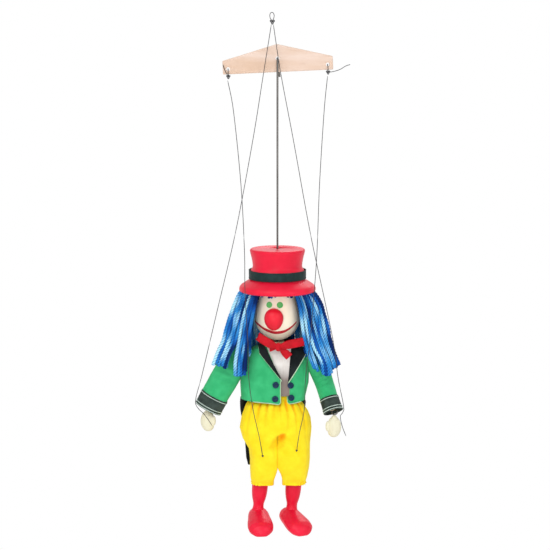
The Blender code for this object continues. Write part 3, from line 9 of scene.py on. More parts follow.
import bmesh
import bpy
import numpy as np
from mathutils import Matrix, Vector, kdtree, noise
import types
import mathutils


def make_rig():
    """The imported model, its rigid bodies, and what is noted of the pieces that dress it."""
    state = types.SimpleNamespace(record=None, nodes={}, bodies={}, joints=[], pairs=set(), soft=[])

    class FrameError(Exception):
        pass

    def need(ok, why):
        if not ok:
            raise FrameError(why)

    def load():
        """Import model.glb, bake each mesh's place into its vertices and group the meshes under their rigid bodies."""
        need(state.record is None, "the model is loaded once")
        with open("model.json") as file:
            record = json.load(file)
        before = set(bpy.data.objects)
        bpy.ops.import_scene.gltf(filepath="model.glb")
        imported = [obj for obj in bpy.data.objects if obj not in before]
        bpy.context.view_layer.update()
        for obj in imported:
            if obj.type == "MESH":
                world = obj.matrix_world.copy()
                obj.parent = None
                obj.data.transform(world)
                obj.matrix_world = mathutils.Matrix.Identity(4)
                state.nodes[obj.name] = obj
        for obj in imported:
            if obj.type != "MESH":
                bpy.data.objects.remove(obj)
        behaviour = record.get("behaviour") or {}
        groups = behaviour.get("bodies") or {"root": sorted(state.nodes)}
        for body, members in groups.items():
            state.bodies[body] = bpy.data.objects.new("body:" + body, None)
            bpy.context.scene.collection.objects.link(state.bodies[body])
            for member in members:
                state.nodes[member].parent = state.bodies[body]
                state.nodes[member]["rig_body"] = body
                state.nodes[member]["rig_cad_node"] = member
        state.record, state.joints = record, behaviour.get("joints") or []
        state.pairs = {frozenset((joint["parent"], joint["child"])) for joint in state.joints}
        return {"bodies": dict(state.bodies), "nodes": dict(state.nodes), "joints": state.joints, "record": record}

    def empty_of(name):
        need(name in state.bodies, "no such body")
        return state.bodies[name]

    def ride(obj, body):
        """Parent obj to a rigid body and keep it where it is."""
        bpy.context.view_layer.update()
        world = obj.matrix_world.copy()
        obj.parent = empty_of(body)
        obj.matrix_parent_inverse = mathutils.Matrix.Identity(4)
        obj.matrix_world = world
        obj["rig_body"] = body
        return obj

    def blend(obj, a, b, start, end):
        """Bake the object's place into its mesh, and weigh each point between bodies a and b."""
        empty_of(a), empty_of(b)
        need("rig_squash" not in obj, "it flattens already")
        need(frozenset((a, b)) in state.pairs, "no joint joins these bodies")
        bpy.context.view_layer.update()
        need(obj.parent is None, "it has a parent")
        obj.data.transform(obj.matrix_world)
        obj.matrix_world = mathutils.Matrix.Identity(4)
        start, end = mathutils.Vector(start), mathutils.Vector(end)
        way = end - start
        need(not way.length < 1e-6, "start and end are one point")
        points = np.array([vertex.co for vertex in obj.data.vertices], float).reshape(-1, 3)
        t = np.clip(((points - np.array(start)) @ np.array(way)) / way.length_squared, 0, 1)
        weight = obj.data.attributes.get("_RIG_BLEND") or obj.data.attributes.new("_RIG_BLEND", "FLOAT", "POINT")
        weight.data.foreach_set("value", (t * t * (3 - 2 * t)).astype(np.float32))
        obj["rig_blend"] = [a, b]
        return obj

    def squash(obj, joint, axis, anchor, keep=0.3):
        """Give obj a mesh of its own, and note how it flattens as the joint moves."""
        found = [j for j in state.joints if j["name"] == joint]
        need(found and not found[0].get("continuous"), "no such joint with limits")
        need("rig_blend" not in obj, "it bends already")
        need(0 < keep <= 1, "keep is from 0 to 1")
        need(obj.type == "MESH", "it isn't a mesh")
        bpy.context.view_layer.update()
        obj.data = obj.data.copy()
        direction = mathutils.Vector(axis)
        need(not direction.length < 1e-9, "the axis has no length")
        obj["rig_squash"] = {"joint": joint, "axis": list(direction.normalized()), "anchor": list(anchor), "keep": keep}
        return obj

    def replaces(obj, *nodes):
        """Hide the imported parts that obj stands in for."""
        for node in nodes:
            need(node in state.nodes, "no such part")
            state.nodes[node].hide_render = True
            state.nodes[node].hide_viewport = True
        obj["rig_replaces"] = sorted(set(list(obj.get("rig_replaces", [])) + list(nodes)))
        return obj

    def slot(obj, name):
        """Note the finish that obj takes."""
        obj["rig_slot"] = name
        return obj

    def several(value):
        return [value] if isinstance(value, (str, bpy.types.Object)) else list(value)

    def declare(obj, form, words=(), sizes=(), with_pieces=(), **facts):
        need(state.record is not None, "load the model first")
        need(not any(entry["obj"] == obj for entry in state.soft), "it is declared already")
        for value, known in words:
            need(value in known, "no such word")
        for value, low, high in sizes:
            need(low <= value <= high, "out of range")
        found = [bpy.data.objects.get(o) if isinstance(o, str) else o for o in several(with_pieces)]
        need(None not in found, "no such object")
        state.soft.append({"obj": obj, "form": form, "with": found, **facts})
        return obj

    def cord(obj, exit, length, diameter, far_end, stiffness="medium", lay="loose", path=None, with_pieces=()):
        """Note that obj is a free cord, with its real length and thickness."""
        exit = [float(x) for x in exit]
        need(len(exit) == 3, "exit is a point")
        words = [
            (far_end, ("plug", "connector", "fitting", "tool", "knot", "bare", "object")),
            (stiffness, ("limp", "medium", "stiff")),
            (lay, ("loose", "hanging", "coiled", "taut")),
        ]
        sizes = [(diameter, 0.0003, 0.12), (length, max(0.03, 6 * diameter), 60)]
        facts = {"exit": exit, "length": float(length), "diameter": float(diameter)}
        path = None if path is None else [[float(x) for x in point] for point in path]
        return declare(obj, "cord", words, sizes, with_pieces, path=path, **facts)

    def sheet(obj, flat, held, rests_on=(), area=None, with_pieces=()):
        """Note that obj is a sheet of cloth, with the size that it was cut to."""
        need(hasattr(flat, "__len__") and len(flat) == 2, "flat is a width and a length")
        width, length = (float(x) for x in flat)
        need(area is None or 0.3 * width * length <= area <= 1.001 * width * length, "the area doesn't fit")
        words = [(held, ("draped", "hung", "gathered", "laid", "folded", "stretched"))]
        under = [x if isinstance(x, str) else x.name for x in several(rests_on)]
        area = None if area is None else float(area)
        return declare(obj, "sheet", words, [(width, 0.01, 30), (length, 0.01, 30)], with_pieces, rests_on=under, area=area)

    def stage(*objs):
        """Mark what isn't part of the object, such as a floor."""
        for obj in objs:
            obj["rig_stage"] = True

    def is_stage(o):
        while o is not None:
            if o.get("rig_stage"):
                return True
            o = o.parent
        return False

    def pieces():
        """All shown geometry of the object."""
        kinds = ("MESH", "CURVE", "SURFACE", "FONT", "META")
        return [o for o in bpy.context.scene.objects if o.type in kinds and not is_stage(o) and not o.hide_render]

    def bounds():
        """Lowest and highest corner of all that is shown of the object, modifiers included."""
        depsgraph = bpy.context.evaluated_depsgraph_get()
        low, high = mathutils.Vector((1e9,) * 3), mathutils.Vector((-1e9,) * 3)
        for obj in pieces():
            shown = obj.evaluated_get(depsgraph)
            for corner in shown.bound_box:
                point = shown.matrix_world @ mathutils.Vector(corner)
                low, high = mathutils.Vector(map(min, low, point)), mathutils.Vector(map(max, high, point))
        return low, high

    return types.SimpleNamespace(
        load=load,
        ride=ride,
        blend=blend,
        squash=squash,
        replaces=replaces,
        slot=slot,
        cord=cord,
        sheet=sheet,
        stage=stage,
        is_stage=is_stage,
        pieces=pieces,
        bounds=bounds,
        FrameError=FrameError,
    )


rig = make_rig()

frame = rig.load()
cad_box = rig.bounds()

SIDES = {"left": -1, "right": 1}
JOINTS = {joint["name"]: joint for joint in frame["joints"]}

# Levels that the pieces stack from, top to bottom
HAT_TOP_Z = -0.1308
HEAD_TOP_Z = -0.1481
BRIM_TOP_Z = -0.1520
BRIM_UNDER_Z = -0.1583
CHIN_Z = -0.1953
COLLAR_Z = -0.1985
LAPEL_END_Z = -0.22237
WAIST_Z = -0.2340
JACKET_HEM_Z = -0.2370
TROUSER_HEM_Z = -0.2985
FLOOR_Z = -0.4500


# Node trees

WHITE = (1.0, 1.0, 1.0)


class Wiring:
    """A node tree, built up step by step."""

    def __init__(self, tree):
        self.nodes = tree.nodes
        self.links = tree.links

    def feed(self, socket, value):
        """Link a socket to another node's output, or set its own value."""
        if isinstance(value, bpy.types.NodeSocket):
            self.links.new(value, socket)
        elif socket.type == "RGBA":
            socket.default_value = (*value, 1.0)
        else:
            socket.default_value = value

    def add(self, kind, inputs, **settings):
        """A new node of a kind, with its settings made and its inputs fed by number or name."""
        node = self.nodes.new("ShaderNode" + kind)
        for setting, value in settings.items():
            setattr(node, setting, value)
        for place, value in inputs.items():
            self.feed(node.inputs[place], value)
        return node

    def math(self, operation, first, second=0.0):
        return self.add("Math", {0: first, 1: second}, operation=operation).outputs[0]

    def seen_or_mirrored(self):
        """One where a ray comes from the camera, from a gloss or through glass, and nothing elsewhere."""
        path = self.add("LightPath", {}).outputs
        seen = self.math("MAXIMUM", path["Is Camera Ray"], path["Is Glossy Ray"])
        return self.math("MAXIMUM", seen, path["Is Transmission Ray"])


# Camera, lights and stage

CAMERA_PLACE = (-0.0017, -1.0, 0.0)
CAMERA_PITCH = 81.5
CAMERA_LENS = 94.9
CAMERA_SENSOR = 36.0
CAMERA_NEAR = 0.01


def placed(name, data):
    """A new object in the scene."""
    item = bpy.data.objects.new(name, data)
    bpy.context.scene.collection.objects.link(item)
    return item


def add_camera():
    data = bpy.data.cameras.new("photo_camera")
    data.lens = CAMERA_LENS
    data.sensor_width = CAMERA_SENSOR
    data.clip_start = CAMERA_NEAR
    camera = placed("photo_camera", data)
    camera.location = CAMERA_PLACE
    camera.rotation_euler = (math.radians(CAMERA_PITCH), 0.0, 0.0)
    bpy.context.scene.camera = camera


AMBIENT_STRENGTH = 0.58
BACKDROP_STRENGTH = 1.0


def add_world():
    world = bpy.data.worlds.new("studio")
    world.use_nodes = True
    bpy.context.scene.world = world
    wiring = Wiring(world.node_tree)
    wiring.nodes.clear()
    ambient = wiring.add("Background", {"Color": WHITE, "Strength": AMBIENT_STRENGTH})
    backdrop = wiring.add("Background", {"Color": WHITE, "Strength": BACKDROP_STRENGTH})
    shaders = {0: wiring.seen_or_mirrored(), 1: ambient.outputs[0], 2: backdrop.outputs[0]}
    wiring.add("OutputWorld", {"Surface": wiring.add("MixShader", shaders).outputs[0]})


FLOOR_HALF = 3.0
FLOOR_TONE = (0.93, 0.93, 0.93)
FLOOR_SHADOW_REACH = (0.09, 0.24)


def floor_paper():
    """Pale paper that keeps the puppet's shadow under it and fades to white further out."""
    material = bpy.data.materials.new("floor_paper")
    material.use_nodes = True
    wiring = Wiring(material.node_tree)
    wiring.nodes.clear()
    place = wiring.add("NewGeometry", {}).outputs["Position"]
    flat = wiring.add("VectorMath", {0: place, 1: (1.0, 1.0, 0.0)}, operation="MULTIPLY")
    reach = wiring.add("VectorMath", {0: flat.outputs["Vector"]}, operation="LENGTH")
    near, far = FLOOR_SHADOW_REACH
    edges = {"Value": reach.outputs["Value"], "From Min": near, "From Max": far}
    fade = wiring.add("MapRange", edges, interpolation_type="SMOOTHSTEP")
    paper = wiring.add("BsdfDiffuse", {"Color": FLOOR_TONE})
    white = wiring.add("Emission", {"Strength": BACKDROP_STRENGTH})
    share = wiring.math("MULTIPLY", fade.outputs["Result"], wiring.seen_or_mirrored())
    shaders = {0: share, 1: paper.outputs[0], 2: white.outputs[0]}
    wiring.add("OutputMaterial", {"Surface": wiring.add("MixShader", shaders).outputs[0]})
    return material


def add_floor():
    corners = [(x * FLOOR_HALF, y * FLOOR_HALF, FLOOR_Z) for x, y in ((-1, -1), (1, -1), (1, 1), (-1, 1))]
    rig.stage(mesh_object("floor", corners, [(0, 1, 2, 3)], floor_paper()))


# Each lamp's place, size and power
LAMPS = {
    "key_lamp": ((-0.55, -1.05, 0.75), 1.10, 9.5),
    "fill_lamp": ((0.95, -1.05, 0.30), 0.90, 4.0),
    "low_lamp": ((-0.10, -1.20, -0.30), 0.60, 3.2),
    "back_lamp": ((0.25, 0.95, 0.65), 0.70, 5.0),
}
PUPPET_MIDDLE = Vector((0.0, 0.0, -0.2))


def add_stage():
    add_camera()
    add_world()
    add_floor()
    for name, (place, size, power) in LAMPS.items():
        data = bpy.data.lights.new(name, "AREA")
        data.shape = "SQUARE"
        data.size = size
        data.energy = power
        lamp = placed(name, data)
        lamp.location = place
        lamp.rotation_euler = (PUPPET_MIDDLE - Vector(place)).to_track_quat("-Z", "Y").to_euler()
    bpy.context.scene.view_settings.view_transform = "Standard"


# Numbers, places and routes

def shares(count):
    """Evenly spaced shares from none to one."""
    return [index / (count - 1) for index in range(count)]


def both_ways(count):
    """Evenly spaced numbers from minus one to one."""
    return [2 * index / (count - 1) - 1 for index in range(count)]


def angles(count):
    """Evenly spaced angles, once round."""
    return [2 * math.pi * index / count for index in range(count)]


def ease(share):
    """A share from none to one, slowed at both ends."""
    share = min(max(share, 0.0), 1.0)
    return share * share * (3 - 2 * share)


def power_of(value, power):
    """A signed number raised to a power, its sign kept."""
    return math.copysign(abs(value) ** power, value)


def straight(table, value):
    """Read a number from a table of (place, number) rows, straight between them."""
    rows = sorted(table)
    return float(np.interp(value, [row[0] for row in rows], [row[1] for row in rows]))


def uneven(place, scales):
    """Smooth unevenness between -1 and 1 at a place, closer along an axis with a greater scale."""
    return noise.noise(Vector([scale * part for scale, part in zip(scales, place)]))


def round_axis(radius, angle, z):
    """A place at a radius and an angle round the Z axis."""
    return Vector((radius * math.cos(angle), radius * math.sin(angle), z))


def joint_place(name):
    return Vector(JOINTS[name]["pos_m"])


def swung(point, joint_name):
    """Where a joint at its upper limit carries a point."""
    joint = JOINTS[joint_name]
    pivot = joint_place(joint_name)
    turn = Matrix.Rotation(math.radians(joint["range_deg"][1]), 3, Vector(joint["axis"]))
    return pivot + turn @ (Vector(point) - pivot)


def smooth_route(points, count):
    """Read count points, evenly spaced by parameter, from a smooth curve through the chosen points."""
    places = [Vector(point) for point in points]
    places = [2 * places[0] - places[1]] + places + [2 * places[-1] - places[-2]]
    spans = len(points) - 1
    route = []
    for index in range(count):
        position = index * spans / (count - 1)
        span = min(int(position), spans - 1)
        share = position - span
        before, start, end, after = places[span:span + 4]
        route.append(0.5 * (2 * start + (end - before) * share
                            + (2 * before - 5 * start + 4 * end - after) * share ** 2
                            + (3 * start - before - 3 * end + after) * share ** 3))
    return route


def even_route(points, spacing):
    """The same curve with its points a steady distance apart."""
    dense = [Vector(point) for point in points]
    lengths = [0.0]
    for before, after in zip(dense, dense[1:]):
        lengths.append(lengths[-1] + (after - before).length)
    count = max(3, int(round(lengths[-1] / spacing)) + 1)
    wanted = np.linspace(0.0, lengths[-1], count)
    columns = [np.interp(wanted, lengths, [point[axis] for point in dense]) for axis in range(3)]
    return [Vector(point) for point in zip(*columns)]


def curved(points, spacing=0.0003):
    """A smooth curve through a few points, with its own points a steady distance apart."""
    return even_route(smooth_route(points, 20 * len(points)), spacing)


def heading(route, index):
    """The way that a route runs at one of its points."""
    return (route[min(index + 1, len(route) - 1)] - route[max(index - 1, 0)]).normalized()


def route_frames(route):
    """A pair of cross directions at each point of a route, carried along it without twist."""
    tangents = [heading(route, index) for index in range(len(route))]
    start = Vector((0, 1, 0)) if abs(tangents[0].y) < 0.8 else Vector((1, 0, 0))
    across = tangents[0].cross(start).normalized()
    frames = []
    for tangent in tangents:
        across = (across - across.dot(tangent) * tangent).normalized()
        frames.append((across, tangent.cross(across)))
    return frames


# Meshes

def smooth(data):
    """Shade a mesh smooth."""
    data.polygons.foreach_set("use_smooth", [True] * len(data.polygons))


def mesh_object(name, points, faces, material):
    data = bpy.data.meshes.new(name)
    data.from_pydata([tuple(point) for point in points], [], faces)
    data.validate()
    data.materials.append(material)
    smooth(data)
    return placed(name, data)


def mesh_from(shape, name):
    """A new mesh of a form that was built up in a bmesh, which is freed."""
    data = bpy.data.meshes.new(name)
    shape.to_mesh(data)
    shape.free()
    return data


def grid_faces(rows, columns, closed, first=0):
    """Faces of a grid of points, row after row. A closed grid joins its last column to its first."""
    faces = []
    for row in range(rows - 1):
        for column in range(columns if closed else columns - 1):
            after = (column + 1) % columns
            upper, lower = first + row * columns, first + (row + 1) * columns
            faces.append((upper + column, lower + column, lower + after, upper + after))
    return faces


SAME_POINT = 0.0000005


def recalc_normals(item):
    """Join points that fall together, and turn all faces outward."""
    shape = bmesh.new()
    shape.from_mesh(item.data)
    bmesh.ops.remove_doubles(shape, verts=shape.verts, dist=SAME_POINT)
    bmesh.ops.recalc_face_normals(shape, faces=shape.faces)
    shape.to_mesh(item.data)
    shape.free()
    smooth(item.data)
    return item


def settle(item):
    """Swap an object's mesh for the one its modifiers give, so that the mesh is final."""
    bpy.context.view_layer.update()
    source = item.evaluated_get(bpy.context.evaluated_depsgraph_get())
    data = bpy.data.meshes.new_from_object(source)
    old = item.data
    item.modifiers.clear()
    item.data = data
    data.name = item.name
    bpy.data.meshes.remove(old)
    smooth(data)
    return item


def thicken(item, thickness, offset=-1.0):
    change = item.modifiers.new("thickness", "SOLIDIFY")
    change.thickness = thickness
    change.offset = offset
    change.use_rim = True
    return settle(item)


def grid(name, points, columns, finish, closed):
    """A skin over rows of points, given one after another. A closed one joins each row's end to its start."""
    faces = grid_faces(len(points) // columns, columns, closed)
    return recalc_normals(mesh_object(name, points, faces, FINISHES[finish]))


def cloth_sheet(name, points, columns, finish, thickness):
    """Cloth of a thickness, from rows of points on its outer side."""
    return thicken(grid(name, points, columns, finish, False), thickness)


def tube_parts(route, radius, sides, plies=3, pitch=0.0022, depth=0.22, first=0, blunt=0.6):
    """Points and faces of a closed tube of twisted plies, whose lobes wind round once in a pitch."""
    points = []
    travelled = 0.0
    count = len(route)
    for index, (place, (across, upward)) in enumerate(zip(route, route_frames(route))):
        if index:
            travelled += (place - route[index - 1]).length
        size = blunt * radius if index in (0, count - 1) else radius
        for angle in angles(sides):
            lobe = abs(math.cos(plies * (angle / 2 - math.pi * travelled / pitch)))
            reach = size * (1 - depth * (1 - lobe))
            points.append(place + reach * (math.cos(angle) * across + math.sin(angle) * upward))
    faces = grid_faces(count, sides, True, first)
    faces.append(tuple(first + step for step in range(sides)))
    last = first + (count - 1) * sides
    faces.append(tuple(last + sides - 1 - step for step in range(sides)))
    return points, faces


def tube(name, routes, finish, sides=12, **lay):
    """One piece of twisted thread along each (route, radius) pair."""
    points, faces = [], []
    for route, radius in routes:
        more, skin = tube_parts(route, radius, sides, first=len(points), **lay)
        points += more
        faces += skin
    return recalc_normals(mesh_object(name, points, faces, FINISHES[finish]))


def lathe(name, profile, finish, steps):
    """A turned form round Z through (radius, height) points, closed at the ends that lie on the axis."""
    points = [round_axis(radius, angle, height) for radius, height in profile for angle in angles(steps)]
    return grid(name, points, steps, finish, True)


CORNER_SHARE = 0.48


def rounded(profile, radius, steps):
    """An open profile with its inner corners rounded off."""
    result = [profile[0]]
    for before, corner, after in zip(profile, profile[1:], profile[2:]):
        corner = Vector(corner)
        first, second = Vector(before) - corner, Vector(after) - corner
        reach = min(radius, CORNER_SHARE * first.length, CORNER_SHARE * second.length)
        start, end = corner + first.normalized() * reach, corner + second.normalized() * reach
        for share in shares(steps + 1):
            point = start.lerp(corner, share).lerp(corner.lerp(end, share), share)
            result.append((point.x, point.y))
    result.append(profile[-1])
    return result


def blob(name, parts, finish, voxel, passes):
    """One smooth carved form, grown together from several closed meshes."""
    joined = bmesh.new()
    for part in parts:
        joined.from_mesh(part.data)
        bpy.data.objects.remove(part)
    item = placed(name, mesh_from(joined, name))
    item.data.materials.append(FINISHES[finish])
    grow = item.modifiers.new("grow", "REMESH")
    grow.mode = "VOXEL"
    grow.voxel_size = voxel
    relax = item.modifiers.new("relax", "SMOOTH")
    relax.factor = 0.5
    relax.iterations = passes
    return settle(item)


def ellipsoid(name, centre, radii):
    shape = bmesh.new()
    bmesh.ops.create_uvsphere(shape, u_segments=40, v_segments=24, radius=1.0)
    bmesh.ops.scale(shape, vec=radii, verts=shape.verts)
    bmesh.ops.translate(shape, vec=centre, verts=shape.verts)
    return placed(name, mesh_from(shape, name))


def wear(item, body, slot, *nodes):
    """Hang a finished piece on its body, name its finish and the frame nodes that it stands for."""
    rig.ride(item, body)
    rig.slot(item, slot)
    if nodes:
        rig.replaces(item, *nodes)
    return item


# Finishes

class Finish(Wiring):
    """A node material, built up round one Principled shader."""

    def __init__(self, name, sockets):
        self.material = bpy.data.materials.new(name)
        self.material.use_nodes = True
        super().__init__(self.material.node_tree)
        self.shader = self.nodes["Principled BSDF"]
        for socket, value in sockets.items():
            self.feed(self.shader.inputs[socket], value)
        self.place = self.add("TexCoord", {}).outputs["Object"]
        self.surface = self.add("NewGeometry", {}).outputs

    def axes(self, vector):
        return self.add("SeparateXYZ", {0: vector}).outputs

    def noise(self, scale, detail=2.0, stretch=(1.0, 1.0, 1.0)):
        place = self.add("VectorMath", {0: self.place, 1: stretch}, operation="MULTIPLY").outputs[0]
        return self.add("TexNoise", {"Vector": place, "Scale": scale, "Detail": detail}).outputs[0]

    def spread(self, value, low, high, start=0.0, end=1.0):
        """A value between low and high, carried over to start and end."""
        inputs = {"Value": value, "From Min": low, "From Max": high, "To Min": start, "To Max": end}
        return self.add("MapRange", inputs).outputs["Result"]

    def mix(self, factor, first, second):
        return self.add("Mix", {0: factor, 6: first, 7: second}, data_type="RGBA").outputs[2]

    def attribute(self, name):
        """A number that the mesh carries at each of its points."""
        return self.add("Attribute", {}, attribute_name=name).outputs["Fac"]

    def openness(self, reach):
        """One where the surface lies open, and less in its own folds and hollows within a reach. It sets where shade is
        painted into colours.
        """
        return self.add("AmbientOcclusion", {"Distance": reach}, only_local=True).outputs["AO"]

    def wave(self, value, pitch):
        return self.math("SINE", self.math("MULTIPLY", value, 2 * math.pi / pitch))

    def weave(self, pitch):
        """The over and under of plain-woven threads, on whichever way the surface faces, from -1 to 1."""
        waves = [self.wave(axis, pitch) for axis in self.axes(self.place)]
        facing = [self.math("MULTIPLY", axis, axis) for axis in self.axes(self.surface["Normal"])]
        total = 0.0
        for index, share in enumerate(facing):
            crossing = self.math("MULTIPLY", waves[(index + 1) % 3], waves[(index + 2) % 3])
            total = self.math("ADD", total, self.math("MULTIPLY", share, crossing))
        return total

    def rings(self, pitch, axis=2):
        """Fine lines across one axis, as a lathe or a saw leaves them, from -1 to 1."""
        return self.wave(self.axes(self.place)[axis], pitch)

    def bump(self, height, strength, distance, below=None):
        """Fine relief, which may lie on the relief below it."""
        inputs = {"Height": height, "Strength": strength, "Distance": distance}
        if below is not None:
            inputs["Normal"] = below
        return self.add("Bump", inputs).outputs[0]

    def done(self, colour, roughness, normal):
        for socket, value in (("Base Color", colour), ("Roughness", roughness), ("Normal", normal)):
            self.feed(self.shader.inputs[socket], value)
        return self.material


# How far the painted shade in cloth folds looks for cloth closing round it
FOLD_SHADE_REACH = 0.0050


def cloth_finish(name, light, deep, pitch=0.00055, rough=0.84, sheen=0.10, relief=0.35,
                 painted_shade=None, folds=None):
    """Woven cotton: threads, gaps a little darker, uneven dye and a soft nap.

    It may take painted shade towards its foot, and a warmer painted shade in its folds, standing in for the light that
    they take from each other.
    """
    finish = Finish(name, {"Sheen Weight": sheen, "Sheen Roughness": 0.5, "Specular IOR Level": 0.12})
    weave = finish.weave(pitch)
    dye = finish.spread(finish.noise(130.0, 3.0), 0.35, 0.68)
    slub = finish.noise(900.0, 2.0, (1.0, 1.0, 0.25))
    body = finish.mix(dye, light, deep)
    gap = finish.spread(weave, -1.0, 0.1, 0.42, 0.0)
    colour = finish.mix(finish.math("MULTIPLY", gap, finish.spread(slub, 0.25, 0.75)), body, deep)
    # Painted shade: darker towards the foot, between two heights
    if painted_shade is not None:
        shade_tone, high, low = painted_shade
        colour = finish.mix(finish.spread(finish.axes(finish.place)[2], high, low), colour, shade_tone)
    # Painted shade: a warmer colour where folds and hollows close in
    if folds is not None:
        colour = finish.mix(finish.spread(finish.openness(FOLD_SHADE_REACH), 0.94, 0.58), colour, folds)
    normal = finish.bump(weave, relief, 0.00012)
    normal = finish.bump(finish.noise(2600.0, 2.0), 0.18, 0.00010, normal)
    return finish.done(colour, finish.spread(slub, 0.2, 0.8, rough - 0.06, rough + 0.06), normal)


def satin_finish(name, light, deep, pitch=0.00035, rough=0.5):
    """Ribbon: close threads and a soft shine."""
    finish = Finish(name, {"Sheen Weight": 0.05, "Sheen Roughness": 0.35, "Specular IOR Level": 0.16})
    colour = finish.mix(finish.spread(finish.noise(240.0, 2.0), 0.3, 0.7), light, deep)
    normal = finish.bump(finish.weave(pitch), 0.22, 0.00008)
    fibres = finish.noise(700.0, 2.0)
    return finish.done(colour, finish.spread(fibres, 0.2, 0.8, rough - 0.07, rough + 0.07), normal)


def lacquer_finish(name, light, deep, worn, rough=0.40, coat=0.08):
    """Paint brushed on turned wood: faint lathe lines, uneven coverage, and rubbed edges."""
    finish = Finish(name, {"Coat Weight": coat, "Coat Roughness": 0.25, "Specular IOR Level": 0.20})
    colour = finish.mix(finish.spread(finish.noise(70.0, 3.0), 0.32, 0.7), light, deep)
    brush = finish.noise(420.0, 3.0, (1.0, 1.0, 0.22))
    edge = finish.spread(finish.surface["Pointiness"], 0.53, 0.60)
    rubbed = finish.math("MULTIPLY", edge, finish.spread(finish.noise(380.0, 3.0), 0.42, 0.70))
    colour = finish.mix(finish.math("MULTIPLY", rubbed, 0.55), colour, worn)
    normal = finish.bump(finish.rings(0.0011), 0.05, 0.00006)
    normal = finish.bump(brush, 0.14, 0.00012, normal)
    return finish.done(colour, finish.spread(brush, 0.2, 0.8, rough - 0.07, rough + 0.08), normal)


WOOD_ROUGHNESS = (0.44, 0.58)
WOOD_GRAIN = (1.0, 1.0, 0.14)
WOOD_FIGURE = 0.55


def wood_finish(name, light, deep):
    """Sanded pale wood with its grain drawn out upright and fine open pores."""
    finish = Finish(name, {"Specular IOR Level": 0.20})
    bands = finish.noise(210.0, 4.0, WOOD_GRAIN)
    fibres = finish.noise(1500.0, 3.0, tuple(0.6 * part for part in WOOD_GRAIN))
    grain = finish.math("MULTIPLY", finish.spread(bands, 0.38, 0.68), WOOD_FIGURE)
    colour = finish.mix(grain, light, deep)
    pores = finish.spread(fibres, 0.60, 0.74)
    colour = finish.mix(finish.math("MULTIPLY", pores, 0.35), colour, deep)
    normal = finish.bump(fibres, 0.14, 0.00012)
    return finish.done(colour, finish.spread(bands, 0.2, 0.8, *WOOD_ROUGHNESS), normal)


def plywood_finish(name):
    """Birch ply: streaky face veneer, and darker glue lines on the cut edges."""
    finish = Finish(name, {"Specular IOR Level": 0.22})
    bands = finish.noise(150.0, 4.0, (0.16, 1.0, 1.0))
    fibres = finish.noise(1300.0, 3.0, (0.10, 1.0, 1.0))
    face = finish.mix(finish.spread(bands, 0.35, 0.7), (0.74, 0.588, 0.503), (0.656, 0.467, 0.348))
    face = finish.mix(finish.spread(fibres, 0.58, 0.8, 0.0, 0.3), face, (0.51, 0.32, 0.22))
    plies = finish.spread(finish.rings(0.00125, 1), -0.2, 0.9)
    cut_edge = finish.mix(plies, (0.57, 0.40, 0.29), (0.70, 0.55, 0.44))
    turned = finish.math("ABSOLUTE", finish.axes(finish.surface["Normal"])[1])
    colour = finish.mix(finish.spread(turned, 0.35, 0.75), cut_edge, face)
    normal = finish.bump(fibres, 0.16, 0.00012)
    return finish.done(colour, finish.spread(bands, 0.2, 0.8, 0.48, 0.62), normal)


def steel_finish(name):
    """Drawn wire, with fine streaks along it."""
    finish = Finish(name, {"Metallic": 1.0})
    streaks = finish.noise(900.0, 3.0, (1.0, 1.0, 0.06))
    colour = finish.mix(finish.spread(streaks, 0.3, 0.7), (0.20, 0.19, 0.18), (0.10, 0.095, 0.09))
    normal = finish.bump(streaks, 0.10, 0.00005)
    return finish.done(colour, finish.spread(streaks, 0.25, 0.75, 0.28, 0.46), normal)


def thread_finish(name):
    """Twisted waxed thread: slanting plies, paler where the light catches the fibres."""
    finish = Finish(name, {"Sheen Weight": 0.1, "Specular IOR Level": 0.15})
    axes = finish.axes(finish.place)
    twist = finish.wave(finish.math("ADD", finish.math("MULTIPLY", axes[0], 2.0), axes[2]), 0.0009)
    colour = finish.mix(finish.spread(twist, -0.6, 0.9), (0.025, 0.025, 0.028), (0.085, 0.082, 0.085))
    normal = finish.bump(twist, 0.35, 0.00010)
    return finish.done(colour, finish.spread(finish.noise(1800.0), 0.3, 0.7, 0.62, 0.82), normal)


YARN_BLUES = [(0.002, 0.022, 0.13), (0.008, 0.105, 0.46), (0.034, 0.28, 0.68), (0.42, 0.78, 0.97)]
# Painted shade on the yarn: the dark blue mixed in where plies meet and between strands, and how far it looks for
# neighbouring strands
YARN_PAINTED_SHADE = (0.001, 0.014, 0.085)
YARN_PAINTED_SHADE_REACH = 0.0024
YARN_PLY_DEPTH = 0.40


def yarn_finish(name):
    """Spun yarn dyed in lengths, with painted shade where plies meet and between strands, and a fuzzy nap."""
    finish = Finish(name, {"Sheen Weight": 0.03, "Sheen Roughness": 0.6, "Specular IOR Level": 0.05})
    fibres = finish.noise(2200.0, 3.0, (1.0, 1.0, 0.35))
    dye = finish.math("ADD", finish.attribute("dye"), finish.spread(fibres, 0.3, 0.7, -0.10, 0.10))
    colour = YARN_BLUES[0]
    last = len(YARN_BLUES) - 1
    for step, blue in enumerate(YARN_BLUES[1:]):
        colour = finish.mix(finish.spread(dye, step / last, (step + 1) / last), colour, blue)
    # Painted shade in the grooves between plies, and where strands lie close together
    groove = finish.spread(finish.attribute("ply"), 1 - YARN_PLY_DEPTH, 0.88, 0.66, 0.0)
    between = finish.spread(finish.openness(YARN_PAINTED_SHADE_REACH), 0.80, 0.20, 0.0, 0.8)
    for shade in (groove, between):
        colour = finish.mix(shade, colour, YARN_PAINTED_SHADE)
    normal = finish.bump(fibres, 0.45, 0.00016)
    return finish.done(colour, finish.spread(fibres, 0.3, 0.7, 0.78, 0.94), normal)


BUTTON_ROUGHNESS = (0.28, 0.42)


